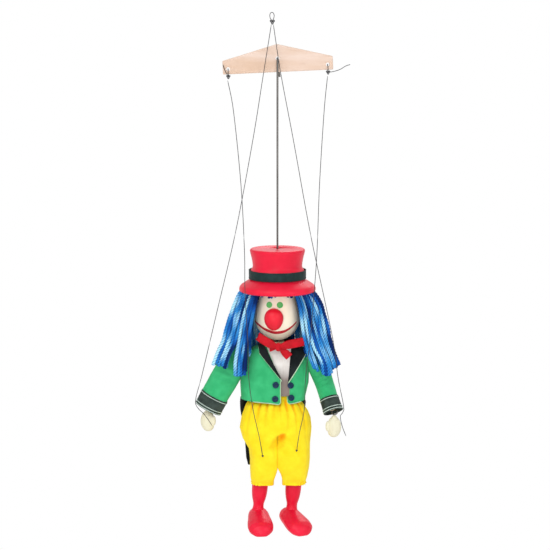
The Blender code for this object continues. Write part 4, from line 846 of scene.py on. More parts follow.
def plastic_finish(name, light, deep):
    """A pressed button: speckled colour and a slightly dulled face."""
    finish = Finish(name, {"Coat Weight": 0.08, "Coat Roughness": 0.2, "Specular IOR Level": 0.2})
    colour = finish.mix(finish.spread(finish.noise(1400.0, 3.0), 0.4, 0.66), light, deep)
    normal = finish.bump(finish.noise(1900.0), 0.10, 0.00006)
    return finish.done(colour, finish.spread(finish.noise(600.0), 0.3, 0.7, *BUTTON_ROUGHNESS), normal)


RED_LIGHT, RED_DEEP, RED_WORN = (0.82, 0.009, 0.044), (0.69, 0.005, 0.029), (0.84, 0.10, 0.10)
# Painted shade on the shirt's foot, deep in the jacket's opening: its grey-brown tone, and the heights that it fades in
# between
SHIRT_PAINTED_SHADE = ((0.25, 0.20, 0.18), -0.2110, -0.2225)
# A warmer orange for the trousers' folds and hollows: painted shade, standing in for the light the yellow cloth throws
# into them
YELLOW_FOLD_SHADE = (0.97, 0.46, 0.006)

# Each finish's maker, colours and changes from the maker's own values
LOOKS = {
    "plywood": (plywood_finish, (), {}),
    "wire_steel": (steel_finish, (), {}),
    "thread": (thread_finish, (), {}),
    "blue_yarn": (yarn_finish, (), {}),
    "red_lacquer": (lacquer_finish, (RED_LIGHT, RED_DEEP, RED_WORN), {}),
    "nose_lacquer": (lacquer_finish, ((0.80, 0.012, 0.034), (0.60, 0.005, 0.018), RED_WORN),
                     {"rough": 0.36, "coat": 0.12}),
    "skin_lacquer": (lacquer_finish, ((0.97, 0.90, 0.73), (0.95, 0.84, 0.64), (0.90, 0.74, 0.54)),
                     {"rough": 0.44}),
    "eye_green": (lacquer_finish, ((0.12, 0.52, 0.14), (0.06, 0.38, 0.08), (0.3, 0.6, 0.3)),
                  {"rough": 0.36, "coat": 0.1}),
    "mouth_red": (lacquer_finish, ((0.58, 0.022, 0.036), (0.42, 0.012, 0.02), (0.7, 0.2, 0.16)), {}),
    "pale_wood": (wood_finish, ((0.77, 0.74, 0.56), (0.67, 0.61, 0.42)), {}),
    "inner_wood": (wood_finish, ((0.80, 0.66, 0.46), (0.62, 0.45, 0.27)), {}),
    "dark_band": (satin_finish, ((0.010, 0.036, 0.034), (0.005, 0.018, 0.018)),
                  {"pitch": 0.00045, "rough": 0.6}),
    "red_ribbon": (satin_finish, ((0.58, 0.003, 0.015), (0.42, 0.002, 0.008)), {}),
    # The shirt's cloth takes painted shade towards its foot
    "white_cloth": (cloth_finish, ((0.90, 0.87, 0.84), (0.78, 0.74, 0.70)),
                    {"pitch": 0.00045, "painted_shade": SHIRT_PAINTED_SHADE}),
    "green_cloth": (cloth_finish, ((0.050, 0.50, 0.195), (0.030, 0.40, 0.145)), {}),
    "black_cloth": (cloth_finish, ((0.014, 0.019, 0.020), (0.005, 0.008, 0.009)),
                    {"pitch": 0.0005, "rough": 0.8, "sheen": 0.04}),
    "cuff_cloth": (cloth_finish, ((0.054, 0.076, 0.066), (0.012, 0.020, 0.017)),
                   {"pitch": 0.00085, "rough": 0.8, "sheen": 0.05, "relief": 0.6}),
    # The trousers' cloth takes warm painted shade in its folds
    "yellow_cloth": (cloth_finish, ((0.97, 0.78, 0.022), (0.93, 0.66, 0.010)),
                     {"pitch": 0.0005, "rough": 0.8, "sheen": 0.05, "relief": 0.28, "folds": YELLOW_FOLD_SHADE}),
    "piping": (cloth_finish, ((0.54, 0.76, 0.52), (0.35, 0.58, 0.36)), {"pitch": 0.0006, "relief": 0.5}),
    "stitching": (cloth_finish, ((0.64, 0.76, 0.69), (0.44, 0.55, 0.48)), {"pitch": 0.0004, "relief": 0.5}),
    "navy_button": (plastic_finish, ((0.004, 0.034, 0.085), (0.002, 0.016, 0.050)), {}),
}
FINISHES = {name: make(name, *colours, **changes) for name, (make, colours, changes) in LOOKS.items()}

# Nodes that keep the frame's own shape: single ones, then pairs with a left and a right
INNER_NODES = {
    "inner_wood": (["torso"], ["upper_arm_", "forearm_", "thigh_"]),
    "wire_steel": (["head_wire", "neck_eye", "hip_axle"],
                   ["shoulder_pin_", "elbow_pin_", "knee_pin_", "wrist_eye_"]),
    "plywood": (["control_bar"], []),
}


def finish_frame():
    """Give the frame's own nodes that stay in sight, or may be seen into, their finish."""
    for finish, (names, pairs) in INNER_NODES.items():
        for name in names + [pair + side for pair in pairs for side in SIDES]:
            data = frame["nodes"][name].data
            data.materials.clear()
            data.materials.append(FINISHES[finish])


# Strings and knots

STRING_DIAMETER = 0.0005
HAND_STRING_ROUTES = {
    "left": [(-0.0042, -0.0030, 0.0226), (-0.0095, -0.0030, -0.0100), (-0.0170, -0.0028, -0.0560),
             (-0.0290, -0.0036, -0.1190), (-0.0420, -0.0056, -0.1740), (-0.0525, -0.0078, -0.2180),
             (-0.0572, -0.0095, -0.2358), (-0.0560, -0.0115, -0.2412), (-0.0510, -0.0125, -0.2462),
             (-0.0456, -0.0125, -0.2542)],
    "right": [(-0.0028, -0.0034, 0.0226), (0.0022, -0.0042, -0.0100), (0.0110, -0.0070, -0.0560),
              (0.0226, -0.0110, -0.1190), (0.0330, -0.0152, -0.1670), (0.0390, -0.0186, -0.1960),
              (0.0415, -0.0208, -0.2160), (0.0438, -0.0212, -0.2280), (0.0454, -0.0220, -0.2358),
              (0.0458, -0.0235, -0.2410), (0.0434, -0.0245, -0.2440), (0.0446, -0.0245, -0.2510),
              (0.0474, -0.0242, -0.2585)],
}
LEG_STRING_ROUTES = {
    "left": [(-0.0340, -0.0006, -0.0150), (-0.0300, -0.0050, -0.0360), (-0.0250, -0.0110, -0.0850),
             (-0.0226, -0.0168, -0.1300), (-0.0222, -0.0190, -0.1600), (-0.0200, -0.0212, -0.2000),
             (-0.0198, -0.0215, -0.2180), (-0.0170, -0.0208, -0.2400), (-0.0128, -0.0190, -0.2600),
             (-0.0103, -0.0180, -0.2745)],
    "right": [(0.0342, -0.0006, -0.0120), (0.0318, -0.0050, -0.0360), (0.0288, -0.0095, -0.0850),
              (0.0272, -0.0130, -0.1300), (0.0252, -0.0150, -0.1600), (0.0226, -0.0198, -0.1900),
              (0.0194, -0.0212, -0.2180), (0.0186, -0.0208, -0.2400), (0.0152, -0.0192, -0.2580),
              (0.0134, -0.0182, -0.2705)],
}
STRING_SPACING = 0.0025
HAND_STRING_CUTS = (-0.120, -0.195, -0.2250)
LEG_STRING_CUTS = (-0.120, -0.198)
HEAD_TO_TORSO = (-0.140, -0.196)
BAR_TO_HEAD = (-0.016, -0.105)
STITCH_SIZE = 0.00055
ELBOW_CLEAR = 0.05
FOREARM_BEND = 0.55


def route_length(route):
    return sum((after - before).length for before, after in zip(route, route[1:]))


def string_stretches(points, cuts):
    """A string's route, cut at chosen heights into stretches that share their end points."""
    dense = smooth_route(points, 40 * (len(points) - 1) + 1)
    edges = [0]
    for height in cuts:
        edges.append(next(index for index, point in enumerate(dense) if point.z <= height))
    edges.append(len(dense) - 1)
    return [even_route(dense[first:last + 1], STRING_SPACING) for first, last in zip(edges, edges[1:])]


def add_stretch(name, route, far_end="object", lay="taut"):
    """One stretch of thread, three plies twisted together, declared as the cord that it is."""
    item = tube(name, [(route, STRING_DIAMETER / 2)], "thread")
    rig.slot(item, "thread")
    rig.cord(item, exit=route[0], length=route_length(route), diameter=STRING_DIAMETER, far_end=far_end,
            stiffness="limp", lay=lay, path=route)
    return item


def add_leg_string(side):
    node = "leg_string_" + side
    upper, middle, lower = string_stretches(LEG_STRING_ROUTES[side], LEG_STRING_CUTS)
    item = add_stretch(node + "_upper", upper)
    x = upper[0].x
    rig.blend(item, "bar", "head", start=(x, 0.0, BAR_TO_HEAD[0]), end=(x, 0.0, BAR_TO_HEAD[1]))
    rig.replaces(item, node)
    item = add_stretch(node + "_middle", middle)
    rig.blend(item, "head", "torso", start=(0.0, 0.0, HEAD_TO_TORSO[0]), end=(0.0, 0.0, HEAD_TO_TORSO[1]))
    item = add_stretch(node + "_lower", lower)
    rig.ride(item, "torso")
    joint = "hip_" + side
    carried = swung(lower[-1], joint) - lower[-1]
    axis = carried.normalized()
    keep = 1.0 + carried.length / (lower[-1] - lower[0]).dot(axis)
    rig.squash(item, joint, axis=axis, anchor=lower[0], keep=keep)
    stitch = [(knot_route(lower[-1], STITCH_SIZE), STRING_DIAMETER / 2)]
    knot = tube(node + "_stitch", stitch, "thread", sides=8)
    wear(knot, "thigh_" + side, "thread")


def add_hand_string(side):
    node = "hand_string_" + side
    upper, middle, lower, end = string_stretches(HAND_STRING_ROUTES[side], HAND_STRING_CUTS)
    item = add_stretch(node + "_upper", upper)
    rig.ride(item, "head")
    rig.replaces(item, node)
    item = add_stretch(node + "_middle", middle)
    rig.blend(item, "head", "torso", start=(0.0, 0.0, HEAD_TO_TORSO[0]), end=(0.0, 0.0, middle[-1].z))
    item = add_stretch(node + "_lower", lower)
    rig.blend(item, "torso", "upper_arm_" + side, start=lower[0], end=lower[-1])
    item = add_stretch(node + "_end", end, "bare", "hanging")
    elbow, wrist = joint_place("elbow_" + side), joint_place("wrist_" + side)
    reach = wrist - elbow
    first = elbow + reach * max(ELBOW_CLEAR, (end[0] - elbow).dot(reach) / reach.length_squared)
    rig.blend(item, "upper_arm_" + side, "forearm_" + side, start=first, end=first.lerp(wrist, FOREARM_BEND))


KNOT_STEPS = 37
KNOT_LOBE = 1.6
KNOT_DEPTH = 0.9
KNOT_SCALE = 0.42


def knot_route(centre, size):
    """An overhand knot, pulled small: a trefoil turned to the viewer."""
    route = []
    for angle in angles(KNOT_STEPS):
        x = math.sin(angle) + KNOT_LOBE * math.sin(2 * angle)
        z = math.cos(angle) - KNOT_LOBE * math.cos(2 * angle)
        y = -KNOT_DEPTH * math.sin(3 * angle)
        route.append(Vector(centre) + KNOT_SCALE * size * Vector((x, y, z)))
    return route


BAR_TILT = 2.6
BAR_LOW_Z = -0.0093
BAR_FRONT_Y = 0.0010
BAR_BACK_Y = 0.0060
BAR_HOLE_X = 0.03415
BAR_HOLE_Z = -0.0057
BAR_KNOT_SIZE = 0.0012
BAR_KNOT_THREAD = 0.00036
BAR_KNOT_DROP = 0.0011
BAR_LOOP_GAP = 0.0003

# The loop through a bar end: what each place lies by, and how far behind or above that it is
BAR_LOOP = [("front", 0.0, "under", -0.0008), ("front", -0.0001, "under", 0.001),
            ("front", 0.0, "hole", -0.0008), ("front", 0.0009, "hole", 0.0),
            ("back", -0.0009, "hole", 0.0), ("back", 0.0, "hole", -0.0009),
            ("back", 0.0, "under", 0.0009), ("back", -0.0010, "under", 0.0),
            ("front", 0.0012, "under", -0.0002), ("front", 0.0003, "under", -0.0008)]
KNOT_TAILS = {
    "left": [(0.0, 0.0, 0.0), (-0.0012, -0.0006, 0.0022), (-0.0026, -0.0004, 0.0050),
             (-0.0036, -0.0006, 0.0082)],
    "right": [(0.0, 0.0, 0.0), (0.0032, -0.0008, 0.0004), (0.0078, -0.0012, 0.0018),
              (0.0120, -0.0006, 0.0042), (0.0150, -0.0004, 0.0052)],
}


def bar_point(x, y, z):
    """A place on the level bar, carried round with its tilt."""
    return Matrix.Rotation(-math.radians(BAR_TILT), 3, "Y") @ Vector((x, y, z))


def add_bar_knot(side):
    """The loop of thread through a bar end, its knot under the bar's edge, and the cut tail."""
    node = "bar_knot_" + side
    x = SIDES[side] * BAR_HOLE_X
    reach = STRING_DIAMETER / 2 + BAR_LOOP_GAP
    marks = {"front": BAR_FRONT_Y - reach, "back": BAR_BACK_Y + reach, "under": BAR_LOW_Z - reach,
             "hole": BAR_HOLE_Z}
    knot_at = bar_point(x, marks["front"], marks["under"] - BAR_KNOT_DROP)
    places = [(marks[near] + behind, marks[level] + up) for near, behind, level, up in BAR_LOOP]
    route = curved([bar_point(x, y, z) for y, z in places])
    tail = curved([knot_at + Vector(step) for step in KNOT_TAILS[side]])
    threads = [(route, STRING_DIAMETER / 2), (knot_route(knot_at, BAR_KNOT_SIZE), BAR_KNOT_THREAD),
               (tail, STRING_DIAMETER / 2)]
    wear(tube(node + "_tied", threads, "thread", sides=10), "bar", "thread", node)


HAND_KNOT = Vector((-0.0035, -0.0032, 0.0245))
HAND_KNOT_SIZE = 0.0014
HAND_KNOT_THREAD = 0.00040
HAND_LOOP = [(-0.0002, 0.0, 0.0006), (-0.0016, 0.0, 0.0030), (-0.0014, 0.0, 0.0056), (0.0002, 0.0, 0.0062),
             (0.0012, 0.0, 0.0046), (0.0010, 0.0, 0.0026), (0.0001, 0.0, 0.0006)]


def add_hand_knot():
    """The knot of the two hand strings, with the small loop left above it."""
    loop = curved([HAND_KNOT + Vector(step) for step in HAND_LOOP])
    threads = [(knot_route(HAND_KNOT, HAND_KNOT_SIZE), HAND_KNOT_THREAD), (loop, STRING_DIAMETER / 2)]
    knot = tube("hand_string_knot_tied", threads, "thread", sides=10)
    wear(knot, "head", "thread", "hand_string_knot")


def add_strings():
    for side in SIDES:
        add_leg_string(side)
        add_hand_string(side)
        add_bar_knot(side)
    add_hand_knot()


# Hat, head and face

CROWN_PROFILE = [(0.0185, 0.0), (0.0193, 0.0009), (0.0191, 0.0022), (0.0186, 0.0042), (0.0180, 0.0066),
                 (0.0175, 0.0092), (0.0172, 0.0118), (0.0174, 0.0132), (0.0183, 0.0144), (0.0186, 0.0150)]
BRIM_PROFILE = [(0.0186, 0.0), (0.0205, 0.0010), (0.0232, 0.0027), (0.0258, 0.0045), (0.0268, 0.0062),
                (0.0267, 0.0080), (0.0255, 0.0088), (0.0200, 0.0077), (0.0145, 0.0063), (0.0135, 0.0053)]
WIRE_BORE = 0.0010
HAT_FIT = 0.0003
HAT_ROUNDING = 0.0016
BAND_INNER = 0.0189
BAND_LOW_Z = BRIM_TOP_Z + 0.0003
BAND_HEIGHT = 0.0062
BAND_THICKNESS = 0.0006
BAND_FIT = 0.0001
BAND_EDGE = 0.00012
BAND_EDGE_SHARE = 0.06
BAND_RIPPLE = 0.00010
BAND_RIPPLE_SCALES = (6, 6, 2)
BAND_LAP = [(1.70, 0.0), (1.74, 0.00035), (2.10, 0.00035), (2.13, 0.0)]


def add_hat():
    recess_z = HEAD_TOP_Z + HAT_FIT
    profile = [(WIRE_BORE, HAT_TOP_Z)]
    profile += [(radius, HAT_TOP_Z - drop) for radius, drop in CROWN_PROFILE]
    profile += [(radius, BRIM_TOP_Z - drop) for radius, drop in BRIM_PROFILE]
    profile += [(BRIM_PROFILE[-1][0], recess_z), (WIRE_BORE, recess_z), (WIRE_BORE, HAT_TOP_Z)]
    hat = lathe("hat_turned", rounded(profile, HAT_ROUNDING, steps=6), "red_lacquer", steps=160)
    wear(hat, "head", "red_lacquer", "hat")
    add_hat_band()


def add_hat_band():
    """A ribbon drawn round the hat, lapped and sewn at one side, with its woven edges a little proud."""
    columns, rows = 220, 14
    points = []
    for share in shares(rows):
        edge = BAND_EDGE * math.exp(-((min(share, 1 - share) / BAND_EDGE_SHARE) ** 2))
        height = BAND_LOW_Z + BAND_HEIGHT * share
        for angle in angles(columns):
            ripple = BAND_RIPPLE * uneven((math.cos(angle), math.sin(angle), share), BAND_RIPPLE_SCALES)
            radius = BAND_INNER + BAND_THICKNESS + straight(BAND_LAP, angle) + edge + ripple
            points.append(round_axis(radius, angle, height))
    band = grid("hat_band_ribbon", points, columns, "dark_band", True)
    wear(thicken(band, BAND_THICKNESS - BAND_FIT), "head", "dark_band", "hat_band")


HEAD_TOP_RADIUS = 0.0132
HEAD_TOP_CORNER = [(0.0022, 0.0), (0.0006, 0.0007), (0.0, 0.0022)]
HEAD_RADIUS = 0.0157
HEAD_CHIN_HEIGHT = 0.0160
HEAD_WIDEST_Z = CHIN_Z + HEAD_CHIN_HEIGHT
HEAD_CHEEK_Z = HEAD_TOP_Z - 0.0120
HEAD_STEPS = 41
FACE_TURN = 8.0
FACE_STEP = 0.0002


def head_radius(z):
    """The head's radius at a height, from its top down to the chin."""
    if z > HEAD_WIDEST_Z:
        share = (HEAD_CHEEK_Z - z) / (HEAD_CHEEK_Z - HEAD_WIDEST_Z)
        return HEAD_TOP_RADIUS + (HEAD_RADIUS - HEAD_TOP_RADIUS) * ease(share)
    drop = min((HEAD_WIDEST_Z - z) / HEAD_CHIN_HEIGHT, 1.0)
    return HEAD_RADIUS * math.sqrt(1 - drop ** 2)


def on_face(angle, z, proud):
    """A place on the head or above it, at an angle from its front towards the viewer's right."""
    slope = (head_radius(z + FACE_STEP) - head_radius(z - FACE_STEP)) / (2 * FACE_STEP)
    outward = Vector((math.sin(angle), -math.cos(angle), -slope)).normalized()
    radius = head_radius(z)
    return Vector((radius * math.sin(angle), -radius * math.cos(angle), z)) + proud * outward


def add_head():
    profile = [(WIRE_BORE, HEAD_TOP_Z)]
    profile += [(HEAD_TOP_RADIUS - cut, HEAD_TOP_Z - drop) for cut, drop in HEAD_TOP_CORNER]
    profile += [(head_radius(z), z) for z in np.linspace(HEAD_CHEEK_Z, HEAD_WIDEST_Z, HEAD_STEPS)]
    for angle in np.linspace(0.0, math.acos(WIRE_BORE / HEAD_RADIUS), HEAD_STEPS)[1:]:
        profile.append((HEAD_RADIUS * math.cos(angle), HEAD_WIDEST_Z - HEAD_CHIN_HEIGHT * math.sin(angle)))
    profile.append((WIRE_BORE, HEAD_TOP_Z))
    wear(lathe("head_turned", profile, "skin_lacquer", steps=128), "head", "pale_wood", "head")
    add_eyes()
    add_mouth()
    add_nose()


EYE_PLACES = {"left": (-0.0057, -0.1683), "right": (0.0017, -0.1683)}
EYE_HALF_WIDTH = 0.0024
EYE_HALF_HEIGHT = 0.00235
EYE_CROWN = 0.00022
EYE_EDGE = 0.00004
PAINT_SUNK = 0.0003


def add_eyes():
    """Two thick oval dabs of paint, crowned in the middle and thin at the edge."""
    rings, spokes = 9, 40
    for side, (x, z) in EYE_PLACES.items():
        points = []
        radius = head_radius(z)
        for share in shares(rings + 1):
            proud = EYE_EDGE + EYE_CROWN * (1 - share ** 3) if share < 1 else -PAINT_SUNK
            for turn in angles(spokes):
                across = EYE_HALF_WIDTH * share * math.cos(turn) / radius
                rise = EYE_HALF_HEIGHT * share * math.sin(turn)
                points.append(on_face(math.asin(x / radius) + across, z + rise, proud))
        wear(grid("eye_" + side, points, spokes, "eye_green", True), "head", "pale_wood")


MOUTH_LOW_Z = -0.1878
MOUTH_RISE = [(-85.0, 0.0060), (-60.0, 0.0047), (-37.0, 0.0020), (-10.0, 0.0), (17.0, 0.0006),
              (37.0, 0.0030), (58.0, 0.0068)]
MOUTH_HALF_WIDTH = 0.0014
MOUTH_STEPS = 90
MOUTH_TAPER = 0.6
MOUTH_CROWN = 0.00016
MOUTH_EDGE = 0.00002
MOUTH_PAINT = 0.0002


def add_mouth():
    """A painted smile from cheek to cheek, drawn thinner at its ends."""
    columns = 9
    spacing = (MOUTH_RISE[-1][0] - MOUTH_RISE[0][0]) / MOUTH_STEPS
    smile = curved([(angle, rise, 0.0) for angle, rise in MOUTH_RISE], spacing)
    points = []
    for index, place in enumerate(smile):
        half = MOUTH_HALF_WIDTH * (0.5 + 0.5 * math.sin(math.pi * index / (len(smile) - 1)) ** MOUTH_TAPER)
        for rise in both_ways(columns):
            proud = MOUTH_CROWN * (1 - rise ** 4) + MOUTH_EDGE if abs(rise) < 1 else -MOUTH_PAINT
            points.append(on_face(math.radians(place.x), MOUTH_LOW_Z + place.y + half * rise, proud))
    wear(cloth_sheet("mouth_paint", points, columns, "mouth_red", MOUTH_PAINT), "head", "pale_wood")


NOSE_HALF_WIDTH = 0.0066
NOSE_HALF_HEIGHT = 0.0077
NOSE_HALF_DEPTH = 0.0058
NOSE_Z = -0.1778
NOSE_FORWARD = HEAD_RADIUS + 0.0023
NOSE_EGG = 0.10


def add_nose():
    """An egg, blunt end up, glued on the middle of the face."""
    turn = math.radians(FACE_TURN)
    centre = Vector((-NOSE_FORWARD * math.sin(turn), -NOSE_FORWARD * math.cos(turn), NOSE_Z))
    rows, columns = 49, 72
    points = []
    for row in range(rows):
        height = math.cos(math.pi * row / (rows - 1))
        girth = math.sqrt(max(1 - height ** 2, 0.0)) * (1.0 + NOSE_EGG * height)
        for angle in angles(columns):
            x, y = NOSE_HALF_WIDTH * girth * math.cos(angle), NOSE_HALF_DEPTH * girth * math.sin(angle)
            points.append(centre + Vector((x, y, NOSE_HALF_HEIGHT * height)))
    wear(grid("nose_egg", points, columns, "nose_lacquer", True), "head", "red_lacquer", "nose")


# Jacket, shirt and bow

JACKET_HALF_WIDTH = 0.0240
JACKET_HALF_DEPTH = 0.0126
JACKET_POWER = 2.4
JACKET_WIDTHS = [(0.0, 0.45), (0.05, 0.71), (0.135, 0.82), (0.26, 0.92), (0.47, 0.99), (0.70, 1.005),
                 (1.0, 0.935)]
JACKET_DEPTHS = [(0.0, 0.68), (0.05, 0.84), (0.135, 0.92), (0.26, 0.95), (0.47, 0.985), (0.74, 1.0),
                 (1.0, 1.02)]
JACKET_DRIFT = -0.0029
JACKET_CLOTH = 0.0007
FRONT_EDGES = {
    "left": [(-0.2370, 0.0021), (-0.2215, 0.0021), (-0.2193, 0.0013), (-0.2012, -0.0066), (-0.1985, -0.0078)],
    "right": [(-0.2370, 0.0069), (-0.2241, 0.0067), (-0.2004, 0.0086), (-0.1985, 0.0088)],
}
FRONT_DROP = 0.0022
FRONT_DROP_REACH = 0.011
CORNER_ROUND = 0.0016
RIGHT_ROLL = 0.0026
RIGHT_ROLL_REACH = 0.0044
RIGHT_ROLL_START = -0.001
RIGHT_ROLL_POWER = 1.6


def jacket_drop(z):
    """How far down the jacket a height is, as a share of its length."""
    return (COLLAR_Z - z) / (COLLAR_Z - JACKET_HEM_Z)


def jacket_size(z):
    drop = jacket_drop(z)
    width, depth = straight(JACKET_WIDTHS, drop), straight(JACKET_DEPTHS, drop)
    return JACKET_HALF_WIDTH * width, JACKET_HALF_DEPTH * depth


def jacket_place(angle, z, proud=0.0):
    """A place on the jacket. The angle runs from the middle of the front towards the viewer's right."""
    half_width, half_depth = jacket_size(z)
    x = (half_width + proud) * power_of(math.sin(angle), 2 / JACKET_POWER)
    y = -(half_depth + proud) * power_of(math.cos(angle), 2 / JACKET_POWER)
    return Vector((x + JACKET_DRIFT * jacket_drop(z), y, z))


def jacket_angle(x, z):
    across = (x - JACKET_DRIFT * jacket_drop(z)) / jacket_size(z)[0]
    return math.asin(power_of(min(max(across, -1.0), 1.0), JACKET_POWER / 2))


def front_roll(x, z):
    """How far the right front edge rolls back towards the shirt."""
    away = x - straight(FRONT_EDGES["right"], z)
    if not RIGHT_ROLL_START < away < RIGHT_ROLL_REACH:
        return 0.0
    return RIGHT_ROLL * (1 - max(away, 0.0) / RIGHT_ROLL_REACH) ** RIGHT_ROLL_POWER


def on_front(x, z, proud=0.0):
    """A place on the jacket's front, measured straight across."""
    place = jacket_place(jacket_angle(x, z), z, proud)
    return place + Vector((0.0, front_roll(x, z), 0.0))


def front_hem(away):
    """The hem's height at a distance from a front edge, with the corner rounded off."""
    drop = FRONT_DROP * math.exp(-away / FRONT_DROP_REACH)
    lift = CORNER_ROUND * max(1 - away / CORNER_ROUND, 0.0) ** 2
    return JACKET_HEM_Z - drop + lift


SEAM_PLACES = (-0.0200, 0.0186)
SEAM_DEPTH = 0.00030
SEAM_WIDTH = 0.00045
SEAM_BACK_Y = 0.004
JACKET_SLACK = 0.00035
JACKET_SLACK_SCALES = (90, 70, 55)
JACKET_FLUTES = 0.00018
JACKET_FLUTE_COUNT = 7


def jacket_relief(place, angle):
    """Seam grooves, and the slack of cloth over a block, in or out from the plain form."""
    relief = JACKET_SLACK * uneven(place, JACKET_SLACK_SCALES)
    relief += JACKET_FLUTES * math.sin(JACKET_FLUTE_COUNT * angle) * jacket_drop(place.z)
    seams = SEAM_PLACES if place.y < SEAM_BACK_Y else (0.0,)
    return relief - sum(SEAM_DEPTH * math.exp(-((place.x - seam) / SEAM_WIDTH) ** 2) for seam in seams)


def add_jacket():
    """One sheet of cloth from the right front edge round the back to the left front edge."""
    rows, columns = 84, 300
    points = []
    for share in shares(rows):
        level = COLLAR_Z + (JACKET_HEM_Z - COLLAR_Z) * share
        left, right = straight(FRONT_EDGES["left"], level), straight(FRONT_EDGES["right"], level)
        first, last = jacket_angle(right, level), 2 * math.pi + jacket_angle(left, level)
        for column in range(columns):
            angle = first + (last - first) * column / (columns - 1)
            plain = jacket_place(angle, level)
            in_front = plain.y < 0
            away = min(abs(plain.x - left), abs(plain.x - right)) if in_front else JACKET_HALF_WIDTH
            z = COLLAR_Z + (front_hem(away) - COLLAR_Z) * share
            roll = front_roll(plain.x, level) if in_front else 0.0
            points.append(jacket_place(angle, z, jacket_relief(plain, angle)) + Vector((0.0, roll, 0.0)))
    jacket = cloth_sheet("jacket_cloth", points, columns, "green_cloth", JACKET_CLOTH)
    wear(jacket, "torso", "green_cloth", "jacket")
    add_collar()
    for side in SIDES:
        add_front_piping(side)
        add_lapel(side)
    add_shirt()
    for name, (x, z) in BUTTON_PLACES.items():
        add_button(name, x, z)
    add_bow()


PIPING_RADIUS = 0.00036
PIPING_SPACING = 0.00035
PIPING_PROUD = 0.0001
PIPING_TWIST = {"plies": 2, "pitch": 0.0012, "depth": 0.25}
PIPING_REACH = {"left": 0.019, "right": 0.0098}


def add_piping(name, route):
    route = even_route(route, PIPING_SPACING)
    piping = tube(name, [(route, PIPING_RADIUS)], "piping", sides=10, **PIPING_TWIST)
    wear(piping, "torso", "green_cloth")


def add_front_piping(side):
    """The pale piping sewn along a front edge and the hem."""
    edge = FRONT_EDGES[side]
    route = []
    for z in np.linspace(LAPEL_END_Z, JACKET_HEM_Z - FRONT_DROP + CORNER_ROUND, 16):
        route.append(on_front(straight(edge, z), z, PIPING_PROUD))
    for away in np.linspace(0.0, PIPING_REACH[side], 44):
        z = front_hem(away)
        route.append(on_front(straight(edge, z) + SIDES[side] * away, z, PIPING_PROUD))
    add_piping("jacket_piping_" + side, route)


COLLAR_TOP_Z = -0.1958
COLLAR_LOW_Z = COLLAR_Z - 0.0008
COLLAR_ROLL = 0.0006
COLLAR_CLOTH = 0.0008
COLLAR_RADIUS = 0.0112
COLLAR_BEARINGS = (58.0, 320.0)
COLLAR_FLATNESS = 0.82
COLLAR_END = 0.45


def add_collar():
    """A dark stand collar round the back of the neck, from one lapel to the other."""
    rows, columns = 16, 120
    points = []
    for share in shares(rows):
        radius = COLLAR_RADIUS + COLLAR_ROLL * math.sin(math.pi * share)
        for turn in shares(columns):
            angle = math.radians(COLLAR_BEARINGS[0] + (COLLAR_BEARINGS[1] - COLLAR_BEARINGS[0]) * turn)
            height = COLLAR_END + (1 - COLLAR_END) * math.sin(math.pi * turn) ** 0.5
            x, y = radius * math.sin(angle), -COLLAR_FLATNESS * radius * math.cos(angle)
            rise = (COLLAR_TOP_Z - COLLAR_LOW_Z) * share * height
            points.append(Vector((x, y, COLLAR_LOW_Z + rise)))
    wear(cloth_sheet("collar", points, columns, "black_cloth", COLLAR_CLOTH), "torso", "black_cloth")


LAPEL_INNER = {
    "left": [(-0.1975, -0.0090), (-0.2012, -0.0066), (-0.2193, 0.0013), (-0.2222, 0.0022)],
    "right": [(-0.1975, 0.0088), (-0.2004, 0.0088), (-0.2241, 0.0067), (-0.2246, 0.0068)],
}
LAPEL_OUTER = {
    "left": [(-0.1975, -0.0118), (-0.2027, -0.0114), (-0.2209, 0.0020), (-0.2222, 0.0025)],
    "right": [(-0.1975, 0.0188), (-0.2010, 0.0202), (-0.2233, 0.0073), (-0.2246, 0.0070)],
}
LAPEL_CLOTH = 0.0007
LAPEL_LIFT = 0.0013
LAPEL_ROLL = 0.0004


def add_lapel(side):
    """A dark facing turned back on the jacket's front, with piping along its outer edge."""
    inner, outer = LAPEL_INNER[side], LAPEL_OUTER[side]
    name = "lapel_" + side
    columns = 18
    points = []
    for z in np.linspace(inner[0][0], inner[-1][0], 60).tolist():
        for share in shares(columns):
            x = (1 - share) * straight(inner, z) + share * straight(outer, z)
            roll = LAPEL_ROLL * math.sin(math.pi * min(share, 0.5))
            points.append(on_front(x, z, LAPEL_LIFT + roll))
    edge = points[columns - 1::columns]
    lapel = cloth_sheet(name + "_cloth", points, columns, "black_cloth", LAPEL_CLOTH)
    wear(lapel, "torso", "black_cloth", name)
    add_piping("lapel_piping_" + side, edge)


SHIRT_MIDDLE_X = 0.0020
SHIRT_HALF_WIDTH = 0.0135
SHIRT_BEHIND = 0.0013
SHIRT_TOP_Z = COLLAR_Z + 0.0005
SHIRT_BEND_Z = COLLAR_Z - 0.0002
SHIRT_END_Z = -0.2335
SHIRT_CLOTH = 0.0004
SHIRT_CREASE = 0.0003
SHIRT_CREASE_SCALES = (120, 0, 80)
PLEAT_WIDTH = 0.0028
PLEAT_HEIGHT = 0.00022


def add_shirt():
    """A pleated shirt front behind the jacket's opening."""
    columns = 90
    points = []
    for z in np.linspace(SHIRT_TOP_Z, SHIRT_END_Z, 70).tolist():
        level = min(z, SHIRT_BEND_Z)
        for across in both_ways(columns):
            x = SHIRT_MIDDLE_X + SHIRT_HALF_WIDTH * across
            pleat = PLEAT_HEIGHT * abs(math.sin(math.pi * (x - 2 * SHIRT_MIDDLE_X) / PLEAT_WIDTH)) ** 0.5
            crease = SHIRT_CREASE * uneven((x, 0.0, z), SHIRT_CREASE_SCALES)
            place = jacket_place(jacket_angle(x, level), level, -SHIRT_BEHIND + pleat + crease)
            points.append(Vector((place.x, place.y, z)))
    shirt = cloth_sheet("shirt_cloth", points, columns, "white_cloth", SHIRT_CLOTH)
    wear(shirt, "torso", "white_cloth", "shirt_front")


